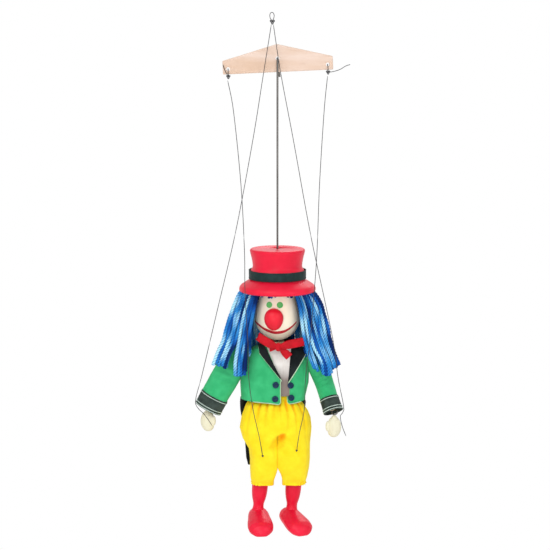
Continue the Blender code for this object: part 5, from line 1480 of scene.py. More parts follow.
BUTTON_RADIUS = 0.0023
BUTTON_THICKNESS = 0.0011
BUTTON_RIM = 0.82
BUTTON_DISH = 0.00035
BUTTON_DISH_REACH = 0.72
BUTTON_SEAT = 0.0004
BUTTON_STEP = 0.0008
BUTTON_HOLE_PLACE = 0.00052
BUTTON_HOLE_RADIUS = 0.00030
BUTTON_HOLE_DEPTH = 0.00045
BUTTON_PLACES = {
    "button_upper_left": (-0.0012, -0.2250), "button_lower_left": (-0.0016, -0.2350),
    "button_upper_right": (0.0091, -0.2256), "button_lower_right": (0.0095, -0.2345),
}


def button_height(share, across, up):
    """How far a button's face stands out: a rounded rim, a dished middle and four holes."""
    at_rim = max(share - BUTTON_RIM, 0.0) / (1 - BUTTON_RIM)
    dome = BUTTON_THICKNESS * math.sqrt(max(1 - at_rim ** 2, 0.0))
    dish = BUTTON_DISH * (1 - min(share / BUTTON_DISH_REACH, 1.0) ** 6)
    hole = math.hypot(abs(across) - BUTTON_HOLE_PLACE, abs(up) - BUTTON_HOLE_PLACE)
    return dome - dish - BUTTON_HOLE_DEPTH * max(1 - (hole / BUTTON_HOLE_RADIUS) ** 4, 0.0)


def add_button(name, x, z):
    """A pressed button, sewn flat on the cloth."""
    rings, spokes = 26, 72
    points = []
    for share in shares(rings + 1):
        for angle in angles(spokes):
            across, up = BUTTON_RADIUS * share * math.cos(angle), BUTTON_RADIUS * share * math.sin(angle)
            points.append(Vector((across, -button_height(share, across, up), up)))
    item = grid(name + "_pressed", points, spokes, "navy_button", True)
    rise = on_front(x, z + BUTTON_STEP) - on_front(x, z - BUTTON_STEP)
    outward = (on_front(x + BUTTON_STEP, z) - on_front(x - BUTTON_STEP, z)).cross(rise).normalized()
    turn = Vector((0, -1, 0)).rotation_difference(outward).to_matrix().to_4x4()
    item.data.transform(Matrix.Translation(on_front(x, z, BUTTON_SEAT)) @ turn)
    wear(item, "torso", "navy_button", name)


RIBBON_WIDTH = 0.0056
RIBBON_CLOTH = 0.00035
RIBBON_SPACING = 0.00035
RIBBON_FLUTES = 0.00045
RIBBON_FLUTE_COUNT = 3
RIBBON_CUP = 0.0005
RIBBON_EDGE_ON = 0.2
GATHERED = 0.42
GATHER_REACH = 0.0075
BOW_STRANDS = {
    "bow_loop_left": [(0.0005, -0.0172, -0.1972), (-0.0045, -0.0188, -0.1952), (-0.0092, -0.0188, -0.1924),
                      (-0.0126, -0.0176, -0.1903), (-0.0132, -0.0160, -0.1901), (-0.0110, -0.0150, -0.1916),
                      (-0.0060, -0.0148, -0.1946), (0.0003, -0.0152, -0.1974)],
    "bow_loop_right": [(0.0008, -0.0172, -0.1974), (0.0060, -0.0186, -0.1958), (0.0120, -0.0184, -0.1946),
                       (0.0176, -0.0166, -0.1938), (0.0184, -0.0150, -0.1938), (0.0160, -0.0143, -0.1942),
                       (0.0080, -0.0146, -0.1958), (0.0010, -0.0152, -0.1974)],
    "bow_tail_right": [(0.0004, -0.0160, -0.1970), (0.0030, -0.0166, -0.1992), (0.0056, -0.0160, -0.2018),
                       (0.0082, -0.0154, -0.2046)],
    "bow_tail_left": [(0.0006, -0.0160, -0.1972), (-0.0018, -0.0160, -0.1978), (-0.0038, -0.0154, -0.1981),
                      (-0.0056, -0.0149, -0.1983)],
}
BOW_KNOT = Vector((0.0006, -0.0164, -0.1973))
BOW_KNOT_RADIUS = 0.0021
BOW_KNOT_HALF_HEIGHT = 0.0031
BOW_KNOT_FLUTES = 0.06
BOW_KNOT_FLUTE_COUNT = 5
BOW_KNOT_POWER = 3.2


def ribbon(name, points):
    """A flat ribbon along a route, its width across the viewer's plane, gathered where it meets the knot."""
    route = curved(points, RIBBON_SPACING)
    columns = 15
    turned_back = Vector(points[len(points) // 2]) - Vector(points[0])
    places = []
    for index, place in enumerate(route):
        along = heading(route, index)
        if math.hypot(along.x, along.z) < RIBBON_EDGE_ON:
            along = turned_back
        across = Vector((-along.z, 0.0, along.x)).normalized()
        if across.z < 0:
            across = -across
        gather = GATHERED + (1 - GATHERED) * ease((place - BOW_KNOT).length / GATHER_REACH)
        for share in both_ways(columns):
            flutes = RIBBON_FLUTES * (1 - gather) * math.cos(RIBBON_FLUTE_COUNT * math.pi * share)
            depth = flutes + RIBBON_CUP * share * share
            places.append(place + 0.5 * RIBBON_WIDTH * gather * share * across + Vector((0.0, depth, 0.0)))
    return thicken(grid(name, places, columns, "red_ribbon", False), RIBBON_CLOTH, 0.0)


def add_bow():
    for name, points in BOW_STRANDS.items():
        wear(ribbon(name, points), "torso", "red_ribbon")
    rows, columns = 40, 48
    points = []
    for share in both_ways(rows):
        girth = BOW_KNOT_RADIUS * math.sqrt(1 - abs(share) ** BOW_KNOT_POWER)
        for angle in angles(columns):
            radius = girth * (1.0 + BOW_KNOT_FLUTES * math.cos(BOW_KNOT_FLUTE_COUNT * angle))
            points.append(BOW_KNOT + round_axis(radius, angle, BOW_KNOT_HALF_HEIGHT * share))
    wear(grid("bow_knot", points, columns, "red_ribbon", True), "torso", "red_ribbon", "bow_tie")


# Sleeves, cuffs and hands

SLEEVE_ROUTES = {
    "left": [(-0.0180, 0.0, -0.2012), (-0.0250, 0.0, -0.2055), (-0.0330, 0.0, -0.2158),
             (-0.0400, 0.0, -0.2280), (-0.0450, 0.0, -0.2372), (-0.0492, 0.0, -0.2450)],
    "right": [(0.0180, 0.0, -0.2012), (0.0240, 0.0, -0.2055), (0.0288, 0.0, -0.2150),
              (0.0330, -0.0012, -0.2262), (0.0366, -0.0064, -0.2368), (0.0392, -0.0106, -0.2446)],
}
SLEEVE_WIDTHS = {
    "left": [(0.0, 0.0060), (0.10, 0.0082), (0.30, 0.0098), (0.60, 0.0102), (0.82, 0.0096), (1.0, 0.0094)],
    "right": [(0.0, 0.0056), (0.10, 0.0070), (0.30, 0.0074), (0.60, 0.0064), (0.82, 0.0062), (1.0, 0.0066)],
}
SLEEVE_HALF_DEPTH = 0.0068
SLEEVE_SHOULDER_DEPTH = 0.72
SLEEVE_SPLIT = 0.40
SLEEVE_ELBOW = 0.50
SLEEVE_ELBOW_REACH = 0.16
SLEEVE_UNDER_CUFF = 3
SLEEVE_CREASE = 0.0005
SLEEVE_CREASE_SCALES = (70, 2, 0.2)
ELBOW_CREASE = 0.0004
ELBOW_CREASE_SCALES = (70, 2)
SLEEVE_COLUMNS = 72
SLEEVE_SPACING = 0.0006
SHOULDER_BEND = 0.40
ELBOW_BEND = (0.22, 0.30)
CUFF_SHARE = 0.80
CUFF_PROUD = 0.00045
CUFF_CLOTH = 0.0012
CUFF_SLACK = 0.4
CUFF_TUCK = 0.0002
STITCH_ROWS = (0.11, 0.78, 0.92)
STITCH_RADIUS = 0.00030
STITCH_PROUD = 0.00012
STITCH_SPACING = 0.0004
STITCH_TWIST = {"plies": 2, "pitch": 0.0018, "depth": 0.35}


def sleeve_sections(side):
    """Share of the length, centre, width way and depth way of the sections from the shoulder to the cuff."""
    route = curved(SLEEVE_ROUTES[side], SLEEVE_SPACING)
    sections = []
    for index, place in enumerate(route):
        along = heading(route, index)
        across = Vector((0, -1, 0)).cross(along).normalized()
        sections.append((index / (len(route) - 1), place, across, along.cross(across)))
    return sections


def sleeve_ring(side, section, proud=0.0, slack=1.0):
    """An oval of points round a section, with the cloth's slack and the creases of the elbow."""
    share, place, across, deep = section
    width = straight(SLEEVE_WIDTHS[side], share) + proud
    depth = SLEEVE_HALF_DEPTH * min(1.0, SLEEVE_SHOULDER_DEPTH + share) + proud
    at_elbow = math.exp(-((share - SLEEVE_ELBOW) / SLEEVE_ELBOW_REACH) ** 2)
    down, around, apart = SLEEVE_CREASE_SCALES
    closeness, slant = ELBOW_CREASE_SCALES
    ring = []
    for angle in angles(SLEEVE_COLUMNS):
        x, y = math.cos(angle), math.sin(angle)
        slack_at = Vector((down * place.z + around * x, around * y, apart * SIDES[side]))
        crease = SLEEVE_CREASE * noise.noise(slack_at)
        crease += ELBOW_CREASE * at_elbow * math.sin(closeness * share + slant * x) * y * y
        ring.append(place + (width + slack * crease) * x * across + (depth + slack * crease) * y * deep)
    return ring


def cloth_tube(name, rings, finish):
    """A tube of cloth through closed rings of points, its faces turned outward."""
    points = [point for ring in rings for point in ring]
    columns = len(rings[0])
    faces = grid_faces(len(rings), columns, True)
    middle = len(rings) // 4
    centre = sum(rings[middle], Vector()) / columns
    outward = 0.0
    for corners in faces[middle * columns:(middle + 1) * columns]:
        first, second, third = (points[corner] for corner in corners[:3])
        outward += (second - first).cross(third - first).dot(first - centre)
    if outward < 0:
        faces = [face[::-1] for face in faces]
    return mesh_object(name, points, faces, FINISHES[finish])


def shade_as_one(whole, pieces, normals):
    """Give pieces cut from one surface the normals of that whole surface, so that no cut shows."""
    tree = kdtree.KDTree(len(whole.data.vertices))
    for vertex in whole.data.vertices:
        tree.insert(vertex.co, vertex.index)
    tree.balance()
    for piece in pieces:
        found = [normals[tree.find(vertex.co)[1]] for vertex in piece.data.vertices]
        piece.data.normals_split_custom_set_from_vertices(found)
    bpy.data.objects.remove(whole)


def bend(item, slot, upper, lower, start, end):
    """Let a piece of cloth bend from one body to the next between two places, and name its finish."""
    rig.blend(item, upper, lower, start=start, end=end)
    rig.slot(item, slot)


def add_sleeve(side):
    sections = sleeve_sections(side)
    cuff_at = next(index for index, section in enumerate(sections) if section[0] >= CUFF_SHARE)
    split = next(index for index, section in enumerate(sections) if section[0] >= SLEEVE_SPLIT)
    rings = [sleeve_ring(side, section) for section in sections[:cuff_at + SLEEVE_UNDER_CUFF]]
    whole = cloth_tube("sleeve_whole_" + side, rings, "green_cloth")
    upper = cloth_tube("sleeve_upper_%s_cloth" % side, rings[:split + 1], "green_cloth")
    lower = cloth_tube("sleeve_lower_%s_cloth" % side, rings[split:], "green_cloth")
    shade_as_one(whole, [upper, lower], [vertex.normal.copy() for vertex in whole.data.vertices])
    shoulder, elbow = joint_place("shoulder_" + side), joint_place("elbow_" + side)
    wrist = joint_place("wrist_" + side)
    arm, forearm = "upper_arm_" + side, "forearm_" + side
    bend(upper, "green_cloth", "torso", arm, shoulder, shoulder.lerp(elbow, SHOULDER_BEND))
    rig.replaces(upper, "sleeve_upper_" + side)
    above, below = ELBOW_BEND
    bend(lower, "green_cloth", arm, forearm, elbow.lerp(shoulder, above), elbow.lerp(wrist, below))
    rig.replaces(lower, "sleeve_lower_" + side)
    add_cuff(side, sections[cuff_at:])


def add_cuff(side, sections):
    """A dark turned-back cuff with rows of pale stitches near its edges."""
    rings = [sleeve_ring(side, sections[0], -CUFF_TUCK, CUFF_SLACK)]
    rings += [sleeve_ring(side, section, CUFF_PROUD, CUFF_SLACK) for section in sections]
    lining = CUFF_PROUD - CUFF_CLOTH
    rings += [sleeve_ring(side, section, lining, CUFF_SLACK) for section in reversed(sections)]
    cuff = cloth_tube("cuff_%s_cloth" % side, rings, "cuff_cloth")
    wear(cuff, "forearm_" + side, "black_cloth", "cuff_" + side)
    for number, place in enumerate(STITCH_ROWS):
        section = sections[int(round(place * (len(sections) - 1)))]
        ring = sleeve_ring(side, section, CUFF_PROUD + STITCH_PROUD, CUFF_SLACK)
        route = even_route(ring + [ring[0]], STITCH_SPACING)
        name = "cuff_%s_stitch_%d" % (side, number + 1)
        stitches = tube(name, [(route, STITCH_RADIUS)], "stitching", sides=8, **STITCH_TWIST)
        wear(stitches, "forearm_" + side, "black_cloth")


HAND_VOXEL = 0.00028

# The middle and half sizes of each part of a hand, with X inward to the body
HAND_PARTS = {
    "palm": ((0.0, 0.0, -0.0086), (0.0050, 0.0034, 0.0072)),
    "heel": ((0.0, 0.0, -0.0058), (0.0043, 0.0030, 0.0044)),
    "fingers": ((0.0004, 0.0, -0.0122), (0.0041, 0.0029, 0.0040)),
    "thumb": ((0.0043, -0.0014, -0.0082), (0.0016, 0.0017, 0.0037)),
    "wrist": ((0.0, 0.0, -0.0030), (0.0022, 0.0020, 0.0028)),
}


def add_hand(side):
    """A carved mitten with its thumb and a short wrist, hung from the wrist's eye."""
    parts = []
    for name, ((x, y, z), radii) in HAND_PARTS.items():
        parts.append(ellipsoid(name, (-SIDES[side] * x, y, z), radii))
    hand = blob("hand_%s_carved" % side, parts, "pale_wood", HAND_VOXEL, passes=8)
    axis = JOINTS["wrist_" + side]["axis"]
    turn = Matrix.Rotation(math.atan2(axis[1], axis[0]), 4, "Z")
    hand.data.transform(Matrix.Translation(joint_place("wrist_" + side)) @ turn)
    wear(hand, "hand_" + side, "pale_wood", "hand_" + side)


# Trousers, tails, legs and shoes

TROUSER_OUTER = {
    "left": [(-0.2335, 0.0180), (-0.2385, 0.0202), (-0.2420, 0.0224), (-0.2497, 0.0253), (-0.2580, 0.0264),
             (-0.2657, 0.0245), (-0.2720, 0.0206), (-0.2800, 0.0199), (-0.2874, 0.0198), (-0.2940, 0.0193),
             (-0.2970, 0.0184), (-0.2985, 0.0188)],
    "right": [(-0.2335, 0.0150), (-0.2385, 0.0164), (-0.2416, 0.0190), (-0.2460, 0.0219), (-0.2510, 0.0236),
              (-0.2580, 0.0240), (-0.2699, 0.0232), (-0.2800, 0.0229), (-0.2874, 0.0225), (-0.2940, 0.0212),
              (-0.2970, 0.0200), (-0.2985, 0.0204)],
}
TROUSER_INNER = {
    "left": [(-0.2600, 0.0), (-0.2850, 0.0), (-0.2904, 0.0015), (-0.2950, 0.0030), (-0.2985, 0.0032)],
    "right": [(-0.2600, 0.0), (-0.2840, 0.0), (-0.2904, 0.0030), (-0.2950, 0.0041), (-0.2985, 0.0040)],
}
TROUSER_DEPTHS = [(-0.2335, 0.0080), (-0.2375, 0.0090), (-0.2390, 0.0106), (-0.2410, 0.0130),
                  (-0.2440, 0.0152), (-0.2500, 0.0170), (-0.2600, 0.0179), (-0.2700, 0.0180),
                  (-0.2745, 0.0178), (-0.2850, 0.0150), (-0.2935, 0.0116), (-0.2970, 0.0094),
                  (-0.2985, 0.0097)]
LEG_PARTING = (-0.2600, -0.2760)
LEG_POWER = 0.72
LEG_INNER_POWER = 0.28
LEG_PRESS = 0.0007
SEAT_POWER = 0.85
SEAT_FLAT = 0.002
SEAT_BLEND = 0.0035
TROUSER_SLACK = 0.0008
TROUSER_SLACK_SCALES = (75, 75, 60)
SEAT_SPLIT_Z = -0.2440
THIGH_SPLIT_Z = -0.2640
KNEE_SPLIT_Z = -0.2690
KNEE_END_Z = -0.2870
HEM_GATHERS = (17, 1.7, 2)
HEM_GATHER_DEPTH = 0.0004
HEM_GATHER_REACH = 0.0042
WAIST_GATHERS = (21, 2.2, 3)
WAIST_GATHER_DEPTH = 0.0026
WAIST_GATHER_Z = -0.2395
WAIST_GATHER_REACH = 0.0105
WAIST_GATHER_ABOVE = 4
WAIST_GATHER_BEHIND = 0.5
CROTCH = (0.0010, -0.2618)
CROTCH_FOLDS = ((-0.9, 0.0013, 0.020), (0.85, 0.0012, 0.018), (1.55, 0.0008, 0.016),
                (-1.75, 0.0009, 0.017))
FOLD_WIDTH = 0.0026
FOLD_START = 0.003
FOLD_MIDDLE = 0.45
FOLD_SPAN = 0.42
HOLLOW_DEPTH = 0.0064
HOLLOW_MIDDLES = [(-0.2718, -0.0012), (-0.2690, -0.0012), (-0.2647, 0.0004), (-0.2618, 0.0026),
                  (-0.2598, 0.0042)]
HOLLOW_WIDTHS = [(-0.2738, 0.0014), (-0.2690, 0.0022), (-0.2647, 0.0034), (-0.2618, 0.0032),
                 (-0.2598, 0.0022)]
HOLLOW_SHARES = [(-0.2770, 0.0), (-0.2713, 0.4), (-0.2678, 0.9), (-0.2647, 1.0), (-0.2618, 0.85),
                 (-0.2600, 0.4), (-0.2586, 0.0)]
TROUSER_SPACING = 0.0006
TROUSER_CLOTH = 0.0009
TURN_IN = 0.0040
MIDDLE_OVERLAP = 0.0001


def leg_share(z):
    """None at the seat, where the halves are one, and one below, where each leg is a tube of its own."""
    return ease((LEG_PARTING[0] - z) / (LEG_PARTING[0] - LEG_PARTING[1]))


def gathers(turn, lay):
    """The phase of a run of gathers at a turn. They lie closer in some places than in others."""
    count, sway, sways = lay
    return count * turn + sway * math.sin(sways * turn)


def trouser_relief(x, y, z, turn, side):
    """Gathers at the waist and hem, folds that fan out from the crotch, its hollow, and slack cloth."""
    relief = TROUSER_SLACK * uneven((x, y, z), TROUSER_SLACK_SCALES)
    below = WAIST_GATHER_Z - z
    waist = math.exp(-max(below, -WAIST_GATHER_ABOVE * below) / WAIST_GATHER_REACH)
    waist *= WAIST_GATHER_DEPTH if y < 0 else WAIST_GATHER_BEHIND * WAIST_GATHER_DEPTH
    relief -= waist * max(math.sin(gathers(turn, WAIST_GATHERS)), 0.0) ** 2
    hem = math.exp(-max(z - TROUSER_HEM_Z, 0.0) / HEM_GATHER_REACH)
    relief += HEM_GATHER_DEPTH * hem * math.sin(gathers(turn, HEM_GATHERS) + SIDES[side])
    if y < 0:
        across, up = x - CROTCH[0], z - CROTCH[1]
        reach, bearing = math.hypot(across, up), math.atan2(across, up)
        for aim, height, length in CROTCH_FOLDS:
            aside = math.atan2(math.sin(bearing - aim), math.cos(bearing - aim)) * max(reach, FOLD_START)
            fade = math.exp(-((reach - FOLD_MIDDLE * length) / (FOLD_SPAN * length)) ** 2)
            relief -= height * fade * math.exp(-(aside / FOLD_WIDTH) ** 2)
        beside = (x - straight(HOLLOW_MIDDLES, z)) / straight(HOLLOW_WIDTHS, z)
        relief -= HOLLOW_DEPTH * straight(HOLLOW_SHARES, z) * math.exp(-abs(beside) ** 3)
    return relief


def trouser_ring(side, z, inset=0.0):
    """One level of one half: a half oval with a flat inner wall that rounds off into a leg."""
    outer_x, half_depth = straight(TROUSER_OUTER[side], z), straight(TROUSER_DEPTHS, z)
    inner_x = straight(TROUSER_INNER[side], z)
    middle, leg = (outer_x + inner_x) / 2, (outer_x - inner_x) / 2
    parted = leg_share(z)
    outer, inner = 96, 56
    ring = []
    for step in range(outer + inner):
        if step < outer:
            angle, power = math.pi * step / (outer - 1), LEG_POWER
            plain_x = outer_x * math.sin(angle) ** SEAT_POWER
        else:
            angle, power = math.pi + math.pi * (step - outer + 1) / (inner + 1), LEG_INNER_POWER
            plain_x = 0.0
        leg_x = middle + leg * power_of(math.sin(angle), power)
        if step >= outer:
            leg_x -= LEG_PRESS
        x = plain_x + (leg_x - plain_x) * parted
        y = -half_depth * power_of(math.cos(angle), 1 + (power - 1) * parted)
        outward = Vector((math.sin(angle) * leg, -math.cos(angle) * half_depth, 0.0)).normalized()
        outward.x *= parted + (1 - parted) * min(x / SEAT_FLAT, 1.0) if step < outer else 0.0
        relief = trouser_relief(SIDES[side] * x, y, z, angle, side) - inset
        place = Vector((x, y, z)) + relief * outward
        ring.append(Vector((SIDES[side] * max(place.x, -MIDDLE_OVERLAP), place.y, place.z)))
    return ring


def seat_normals(whole):
    """Face the cloth at the middle straight ahead, so that the two halves of the seat look like one."""
    for vertex in whole.data.vertices:
        share = ease(abs(vertex.co.x) / SEAT_BLEND)
        above = 1 - leg_share(vertex.co.z)
        normal = vertex.normal.copy()
        normal.x *= 1 - above * (1 - share)
        yield normal.normalized()


def add_trousers():
    count = int((WAIST_Z - TROUSER_HEM_Z) / TROUSER_SPACING)
    levels = np.linspace(WAIST_Z, TROUSER_HEM_Z, count).tolist()
    seat_at = next(index for index, z in enumerate(levels) if z <= SEAT_SPLIT_Z)
    knee_at = next(index for index, z in enumerate(levels) if z <= KNEE_SPLIT_Z)
    for side in SIDES:
        rings = [trouser_ring(side, z) for z in levels]
        rings += [trouser_ring(side, z, TROUSER_CLOTH) for z in levels[:-int(TURN_IN / TROUSER_SPACING):-1]]
        whole = cloth_tube("trouser_whole_" + side, rings, "yellow_cloth")
        seat = cloth_tube("trouser_seat_" + side, rings[:seat_at + 1], "yellow_cloth")
        upper = cloth_tube("trouser_thigh_" + side, rings[seat_at:knee_at + 1], "yellow_cloth")
        lower = cloth_tube("trouser_knee_" + side, rings[knee_at:], "yellow_cloth")
        shade_as_one(whole, [seat, upper, lower], list(seat_normals(whole)))
        wear(seat, "torso", "yellow_cloth")
        if side == "left":
            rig.replaces(seat, "trousers")
        thigh, leg = "thigh_" + side, "lower_leg_" + side
        bend(upper, "yellow_cloth", "torso", thigh, (0.0, 0.0, SEAT_SPLIT_Z), (0.0, 0.0, THIGH_SPLIT_Z))
        bend(lower, "yellow_cloth", thigh, leg, (0.0, 0.0, KNEE_SPLIT_Z), (0.0, 0.0, KNEE_END_Z))


TAIL_LENGTH = 0.0550
TAIL_WIDTH = 0.0215
TAIL_SPLIT = 0.0060
TAIL_FAR_Y = 0.0196
TAIL_TUCK = 0.0006
TAIL_OUT = [(0.0, 0.05), (0.06, 0.28), (0.12, 0.48), (0.22, 0.70), (0.40, 1.0), (0.70, 1.0), (1.0, 0.92)]
TAIL_SPREAD = {
    "left": [(0.0, 0.0), (0.10, 0.0010), (0.22, 0.0014), (0.40, 0.0010), (0.70, 0.0)],
    "right": [(0.0, -0.0024), (0.05, 0.0002), (0.10, 0.0010), (0.22, 0.0010), (0.40, 0.0010), (0.70, 0.0)],
}
TAIL_EDGE = {"left": 0.0002, "right": -0.0034}
TAIL_DRIFT = -0.0014
TAIL_INNER_TAPER = 0.0084
TAIL_OUTER_TAPER = 0.0039
TAIL_FOLD = 0.0012
TAIL_FOLD_TOP = 0.3
TAIL_FOLD_COUNT = 3
TAIL_POINT = 0.10
TAIL_CLOTH = 0.0006
TAIL_AREA = 0.00093
TAIL_LIFTED = 0.50


def add_tail(side):
    """A tail of dark cloth that hangs from the hem's curve, out round the seat, drawn in to a rounded end."""
    rows, columns = 110, 44
    half_width, half_depth = jacket_size(JACKET_HEM_Z)
    points = []
    for drop in shares(rows):
        out = straight(TAIL_OUT, drop)
        inner_x = TAIL_SPLIT / 2 + TAIL_INNER_TAPER * drop
        outer_x = TAIL_SPLIT / 2 + TAIL_WIDTH + TAIL_EDGE[side] - TAIL_OUTER_TAPER * drop
        outer_x += straight(TAIL_SPREAD[side], drop)
        point_in = max(drop - 1 + TAIL_POINT, 0.0)
        for column in range(columns):
            share = point_in + (1 - 2 * point_in) * column / (columns - 1)
            near_x = min((TAIL_SPLIT / 2 + TAIL_WIDTH * share) / half_width, 1.0)
            near_y = half_depth * (1 - near_x ** JACKET_POWER) ** (1 / JACKET_POWER)
            wave = 1 + math.sin(TAIL_FOLD_COUNT * math.pi * share)
            fold = TAIL_FOLD * (TAIL_FOLD_TOP + drop) * wave / 2
            y = near_y + (TAIL_FAR_Y - near_y) * out + fold
            x = SIDES[side] * (inner_x + (outer_x - inner_x) * share) + TAIL_DRIFT
            points.append(Vector((x, y, JACKET_HEM_Z + TAIL_TUCK - drop * TAIL_LENGTH)))
    tail = cloth_sheet("tail_%s_cloth" % side, points, columns, "black_cloth", TAIL_CLOTH)
    wear(tail, "torso", "black_cloth", "tail_" + side)
    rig.sheet(tail, flat=(TAIL_WIDTH, TAIL_LENGTH), held="hung", rests_on=["jacket"], area=TAIL_AREA)
    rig.squash(tail, "knee_" + side, axis=(0, 0, 1), anchor=(0, 0, JACKET_HEM_Z), keep=TAIL_LIFTED)


ANKLE_PLACES = {"left": (-0.0135, 0.0, -0.3150), "right": (0.0104, 0.0, -0.3150)}
CALF_PLACES = {"left": (-0.0122, 0.0, -0.2990), "right": (0.0116, 0.0, -0.2990)}
SHIN_PROFILE = [(0.0, 0.0360), (0.0040, 0.0360), (0.0052, 0.0300), (0.0057, 0.0210), (0.0057, 0.0135),
                (0.0055, 0.0085), (0.0047, 0.0040), (0.0036, 0.0004), (0.0041, -0.0036),
                (0.0051, -0.0064), (0.0055, -0.0100), (0.0, -0.0100)]
SHIN_ROUNDING = 0.004
LEG_VOXEL = 0.0004
SHOE_LENGTH = 0.0325
SHOE_WIDTH = 0.0184
SHOE_HEIGHT = 0.0115
SHOE_HEEL_BACK = 0.0075
SHOE_ANKLE_HEIGHT = 0.0146
SHOE_LIFT = 0.35
SHOE_DROOP = 9.0
SHOE_SOLE = 0.86
SHOE_YAW = {"left": 6.0, "right": 24.0}
SHOE_ASIDE = {"left": 0.0, "right": -0.0016}
SHOE_WIDTHS = [(0.0, 0.0), (0.015, 0.28), (0.05, 0.56), (0.14, 0.76), (0.26, 0.83), (0.40, 0.88),
               (0.55, 0.96), (0.70, 1.0), (0.84, 0.94), (0.94, 0.68), (0.985, 0.36), (1.0, 0.0)]
SHOE_HEIGHTS = [(0.0, 0.0), (0.015, 0.40), (0.05, 0.78), (0.14, 1.0), (0.26, 1.12), (0.40, 1.10),
                (0.55, 1.04), (0.70, 1.0), (0.84, 0.92), (0.94, 0.72), (0.985, 0.42), (1.0, 0.0)]


def shoe_body():
    """The shoe from heel to toe, round-toed and flat-soled. Its origin is at the ankle's end."""
    slope = math.tan(math.radians(SHOE_DROOP))
    rows, columns = 80, 48
    points = []
    for row in range(rows):
        share = 0.5 - 0.5 * math.cos(math.pi * row / (rows - 1))
        y = SHOE_HEEL_BACK - share * SHOE_LENGTH
        half_width = straight(SHOE_WIDTHS, share) * SHOE_WIDTH / 2
        height = straight(SHOE_HEIGHTS, share)
        middle = -SHOE_ANKLE_HEIGHT + (height / 2 + SHOE_LIFT * (1 - height)) * SHOE_HEIGHT + y * slope
        for angle in angles(columns):
            x, z = math.cos(angle), max(math.sin(angle), -SHOE_SOLE)
            points.append(Vector((x * half_width, y, middle + z * height * SHOE_HEIGHT / 2)))
    return grid("shoe_body", points, columns, "red_lacquer", True)


def add_leg(side):
    """The turned shin and the carved shoe that is glued on it, painted over as one."""
    ankle = Vector(ANKLE_PLACES[side])
    lean = Vector((0, 0, 1)).rotation_difference(Vector(CALF_PLACES[side]) - ankle).to_matrix().to_4x4()
    shin = lathe("shin", rounded(SHIN_PROFILE, SHIN_ROUNDING, steps=8), "red_lacquer", steps=72)
    shin.data.transform(lean)
    shoe = shoe_body()
    aside = Matrix.Translation((SHOE_ASIDE[side], 0.0, 0.0))
    shoe.data.transform(aside @ Matrix.Rotation(math.radians(SHOE_YAW[side]), 4, "Z"))
    leg = blob("leg_%s_carved" % side, [shin, shoe], "red_lacquer", LEG_VOXEL, passes=10)
    leg.data.transform(Matrix.Translation(ankle))
    wear(leg, "lower_leg_" + side, "red_lacquer", "lower_leg_" + side, "shoe_" + side)


# Hair of yarn

YARN_RADIUS = 0.00138
YARN_SIDES = 15
YARN_PLIES = 3
YARN_PITCH = 0.0062
YARN_SPACING = 0.00050
YARN_BLUNT = 0.8
YARN_SIZES = (0.92, 1.06)
YARN_PITCHES = (0.92, 1.08)
DYE_CHANGE = 0.80
DYE_LENGTH = 0.016
DYE_STARTS = (0.0, 50.0)
HAIR_ROOT_Z = -0.1572
HAIR_ROOT_RADIUS = 0.0140
HAIR_INNER = {
    "left": [(-0.1570, 0.0110), (-0.1641, 0.0150), (-0.1732, 0.0168), (-0.1823, 0.0184),
             (-0.1912, 0.0200), (-0.1972, 0.0214), (-0.2043, 0.0222), (-0.2190, 0.0226)],
    "right": [(-0.1570, 0.0110), (-0.1641, 0.0142), (-0.1743, 0.0158), (-0.1902, 0.0184),
              (-0.1986, 0.0206), (-0.2140, 0.0262)],
}
HAIR_OUTER = {
    "left": [(-0.1570, 0.0190), (-0.1603, 0.0246), (-0.1732, 0.0318), (-0.1823, 0.0344),
             (-0.1912, 0.0367), (-0.1972, 0.0389), (-0.2043, 0.0421), (-0.2102, 0.0445)],
    "right": [(-0.1570, 0.0190), (-0.1605, 0.0236), (-0.1690, 0.0302), (-0.1835, 0.0344),
              (-0.1977, 0.0372), (-0.2106, 0.0427)],
}
HAIR_MIDDLE_Y = [(-0.1570, -0.0020), (-0.1703, -0.0056), (-0.1843, -0.0098), (-0.1983, -0.0128),
                 (-0.2083, -0.0146)]
HAIR_FACE_Y = [(-0.1600, -0.0066), (-0.1720, -0.0056), (-0.1900, -0.0020), (-0.2000, 0.0)]
HAIR_FACE_SHARE = 0.45
HAIR_ROW_DEPTH = 0.0024
HAIR_TIPS = {
    "left": [(0.0, -0.2172), (0.25, -0.2188), (0.42, -0.2186), (0.43, -0.2120), (0.8, -0.2095),
             (1.0, -0.2100)],
    "right": [(0.0, -0.2130), (0.2, -0.2150), (0.35, -0.2182), (0.6, -0.2172), (0.8, -0.2120),
              (1.0, -0.2105)],
}
HAIR_TIP_CHANCE = 0.0014
HAIR_ROW_TIP = 0.0008
HAIR_START_Z = BRIM_UNDER_Z - 0.0022
HAIR_LOOSE = 0.0005
HAIR_PARTING = {"left": (0.42, 0.16, 0.30), "right": (0.16, 0.0, 0.16)}
HAIR_PARTING_Z = (-0.1900, -0.2060)
HAIR_DYES = {
    "left": [(0.0, 0.05), (0.10, 0.14), (0.15, 0.48), (0.27, 0.40), (0.34, 1.05), (0.42, 1.0), (0.50, 0.42),
             (0.62, 0.78), (0.75, 0.80), (0.88, 0.50), (1.0, 0.80)],
    "right": [(0.0, 0.46), (0.09, 0.50), (0.15, 1.0), (0.24, 0.85), (0.30, 0.15), (0.38, 0.10), (0.48, 0.55),
              (0.60, 0.36), (0.72, 0.60), (0.86, 0.88), (1.0, 0.15)],
}
# Painted shade: how much darker each row behind the front one is made, so that the gaps between strands look dark
HAIR_ROW_PAINTED_SHADE = 0.30
HAIR_DYE_CHANCE = 0.16
HAIR_ROW_STRANDS = (9, 9, 8)
HAIR_ROUTE_POINTS = 80
HAIR_LIFTED = 0.60


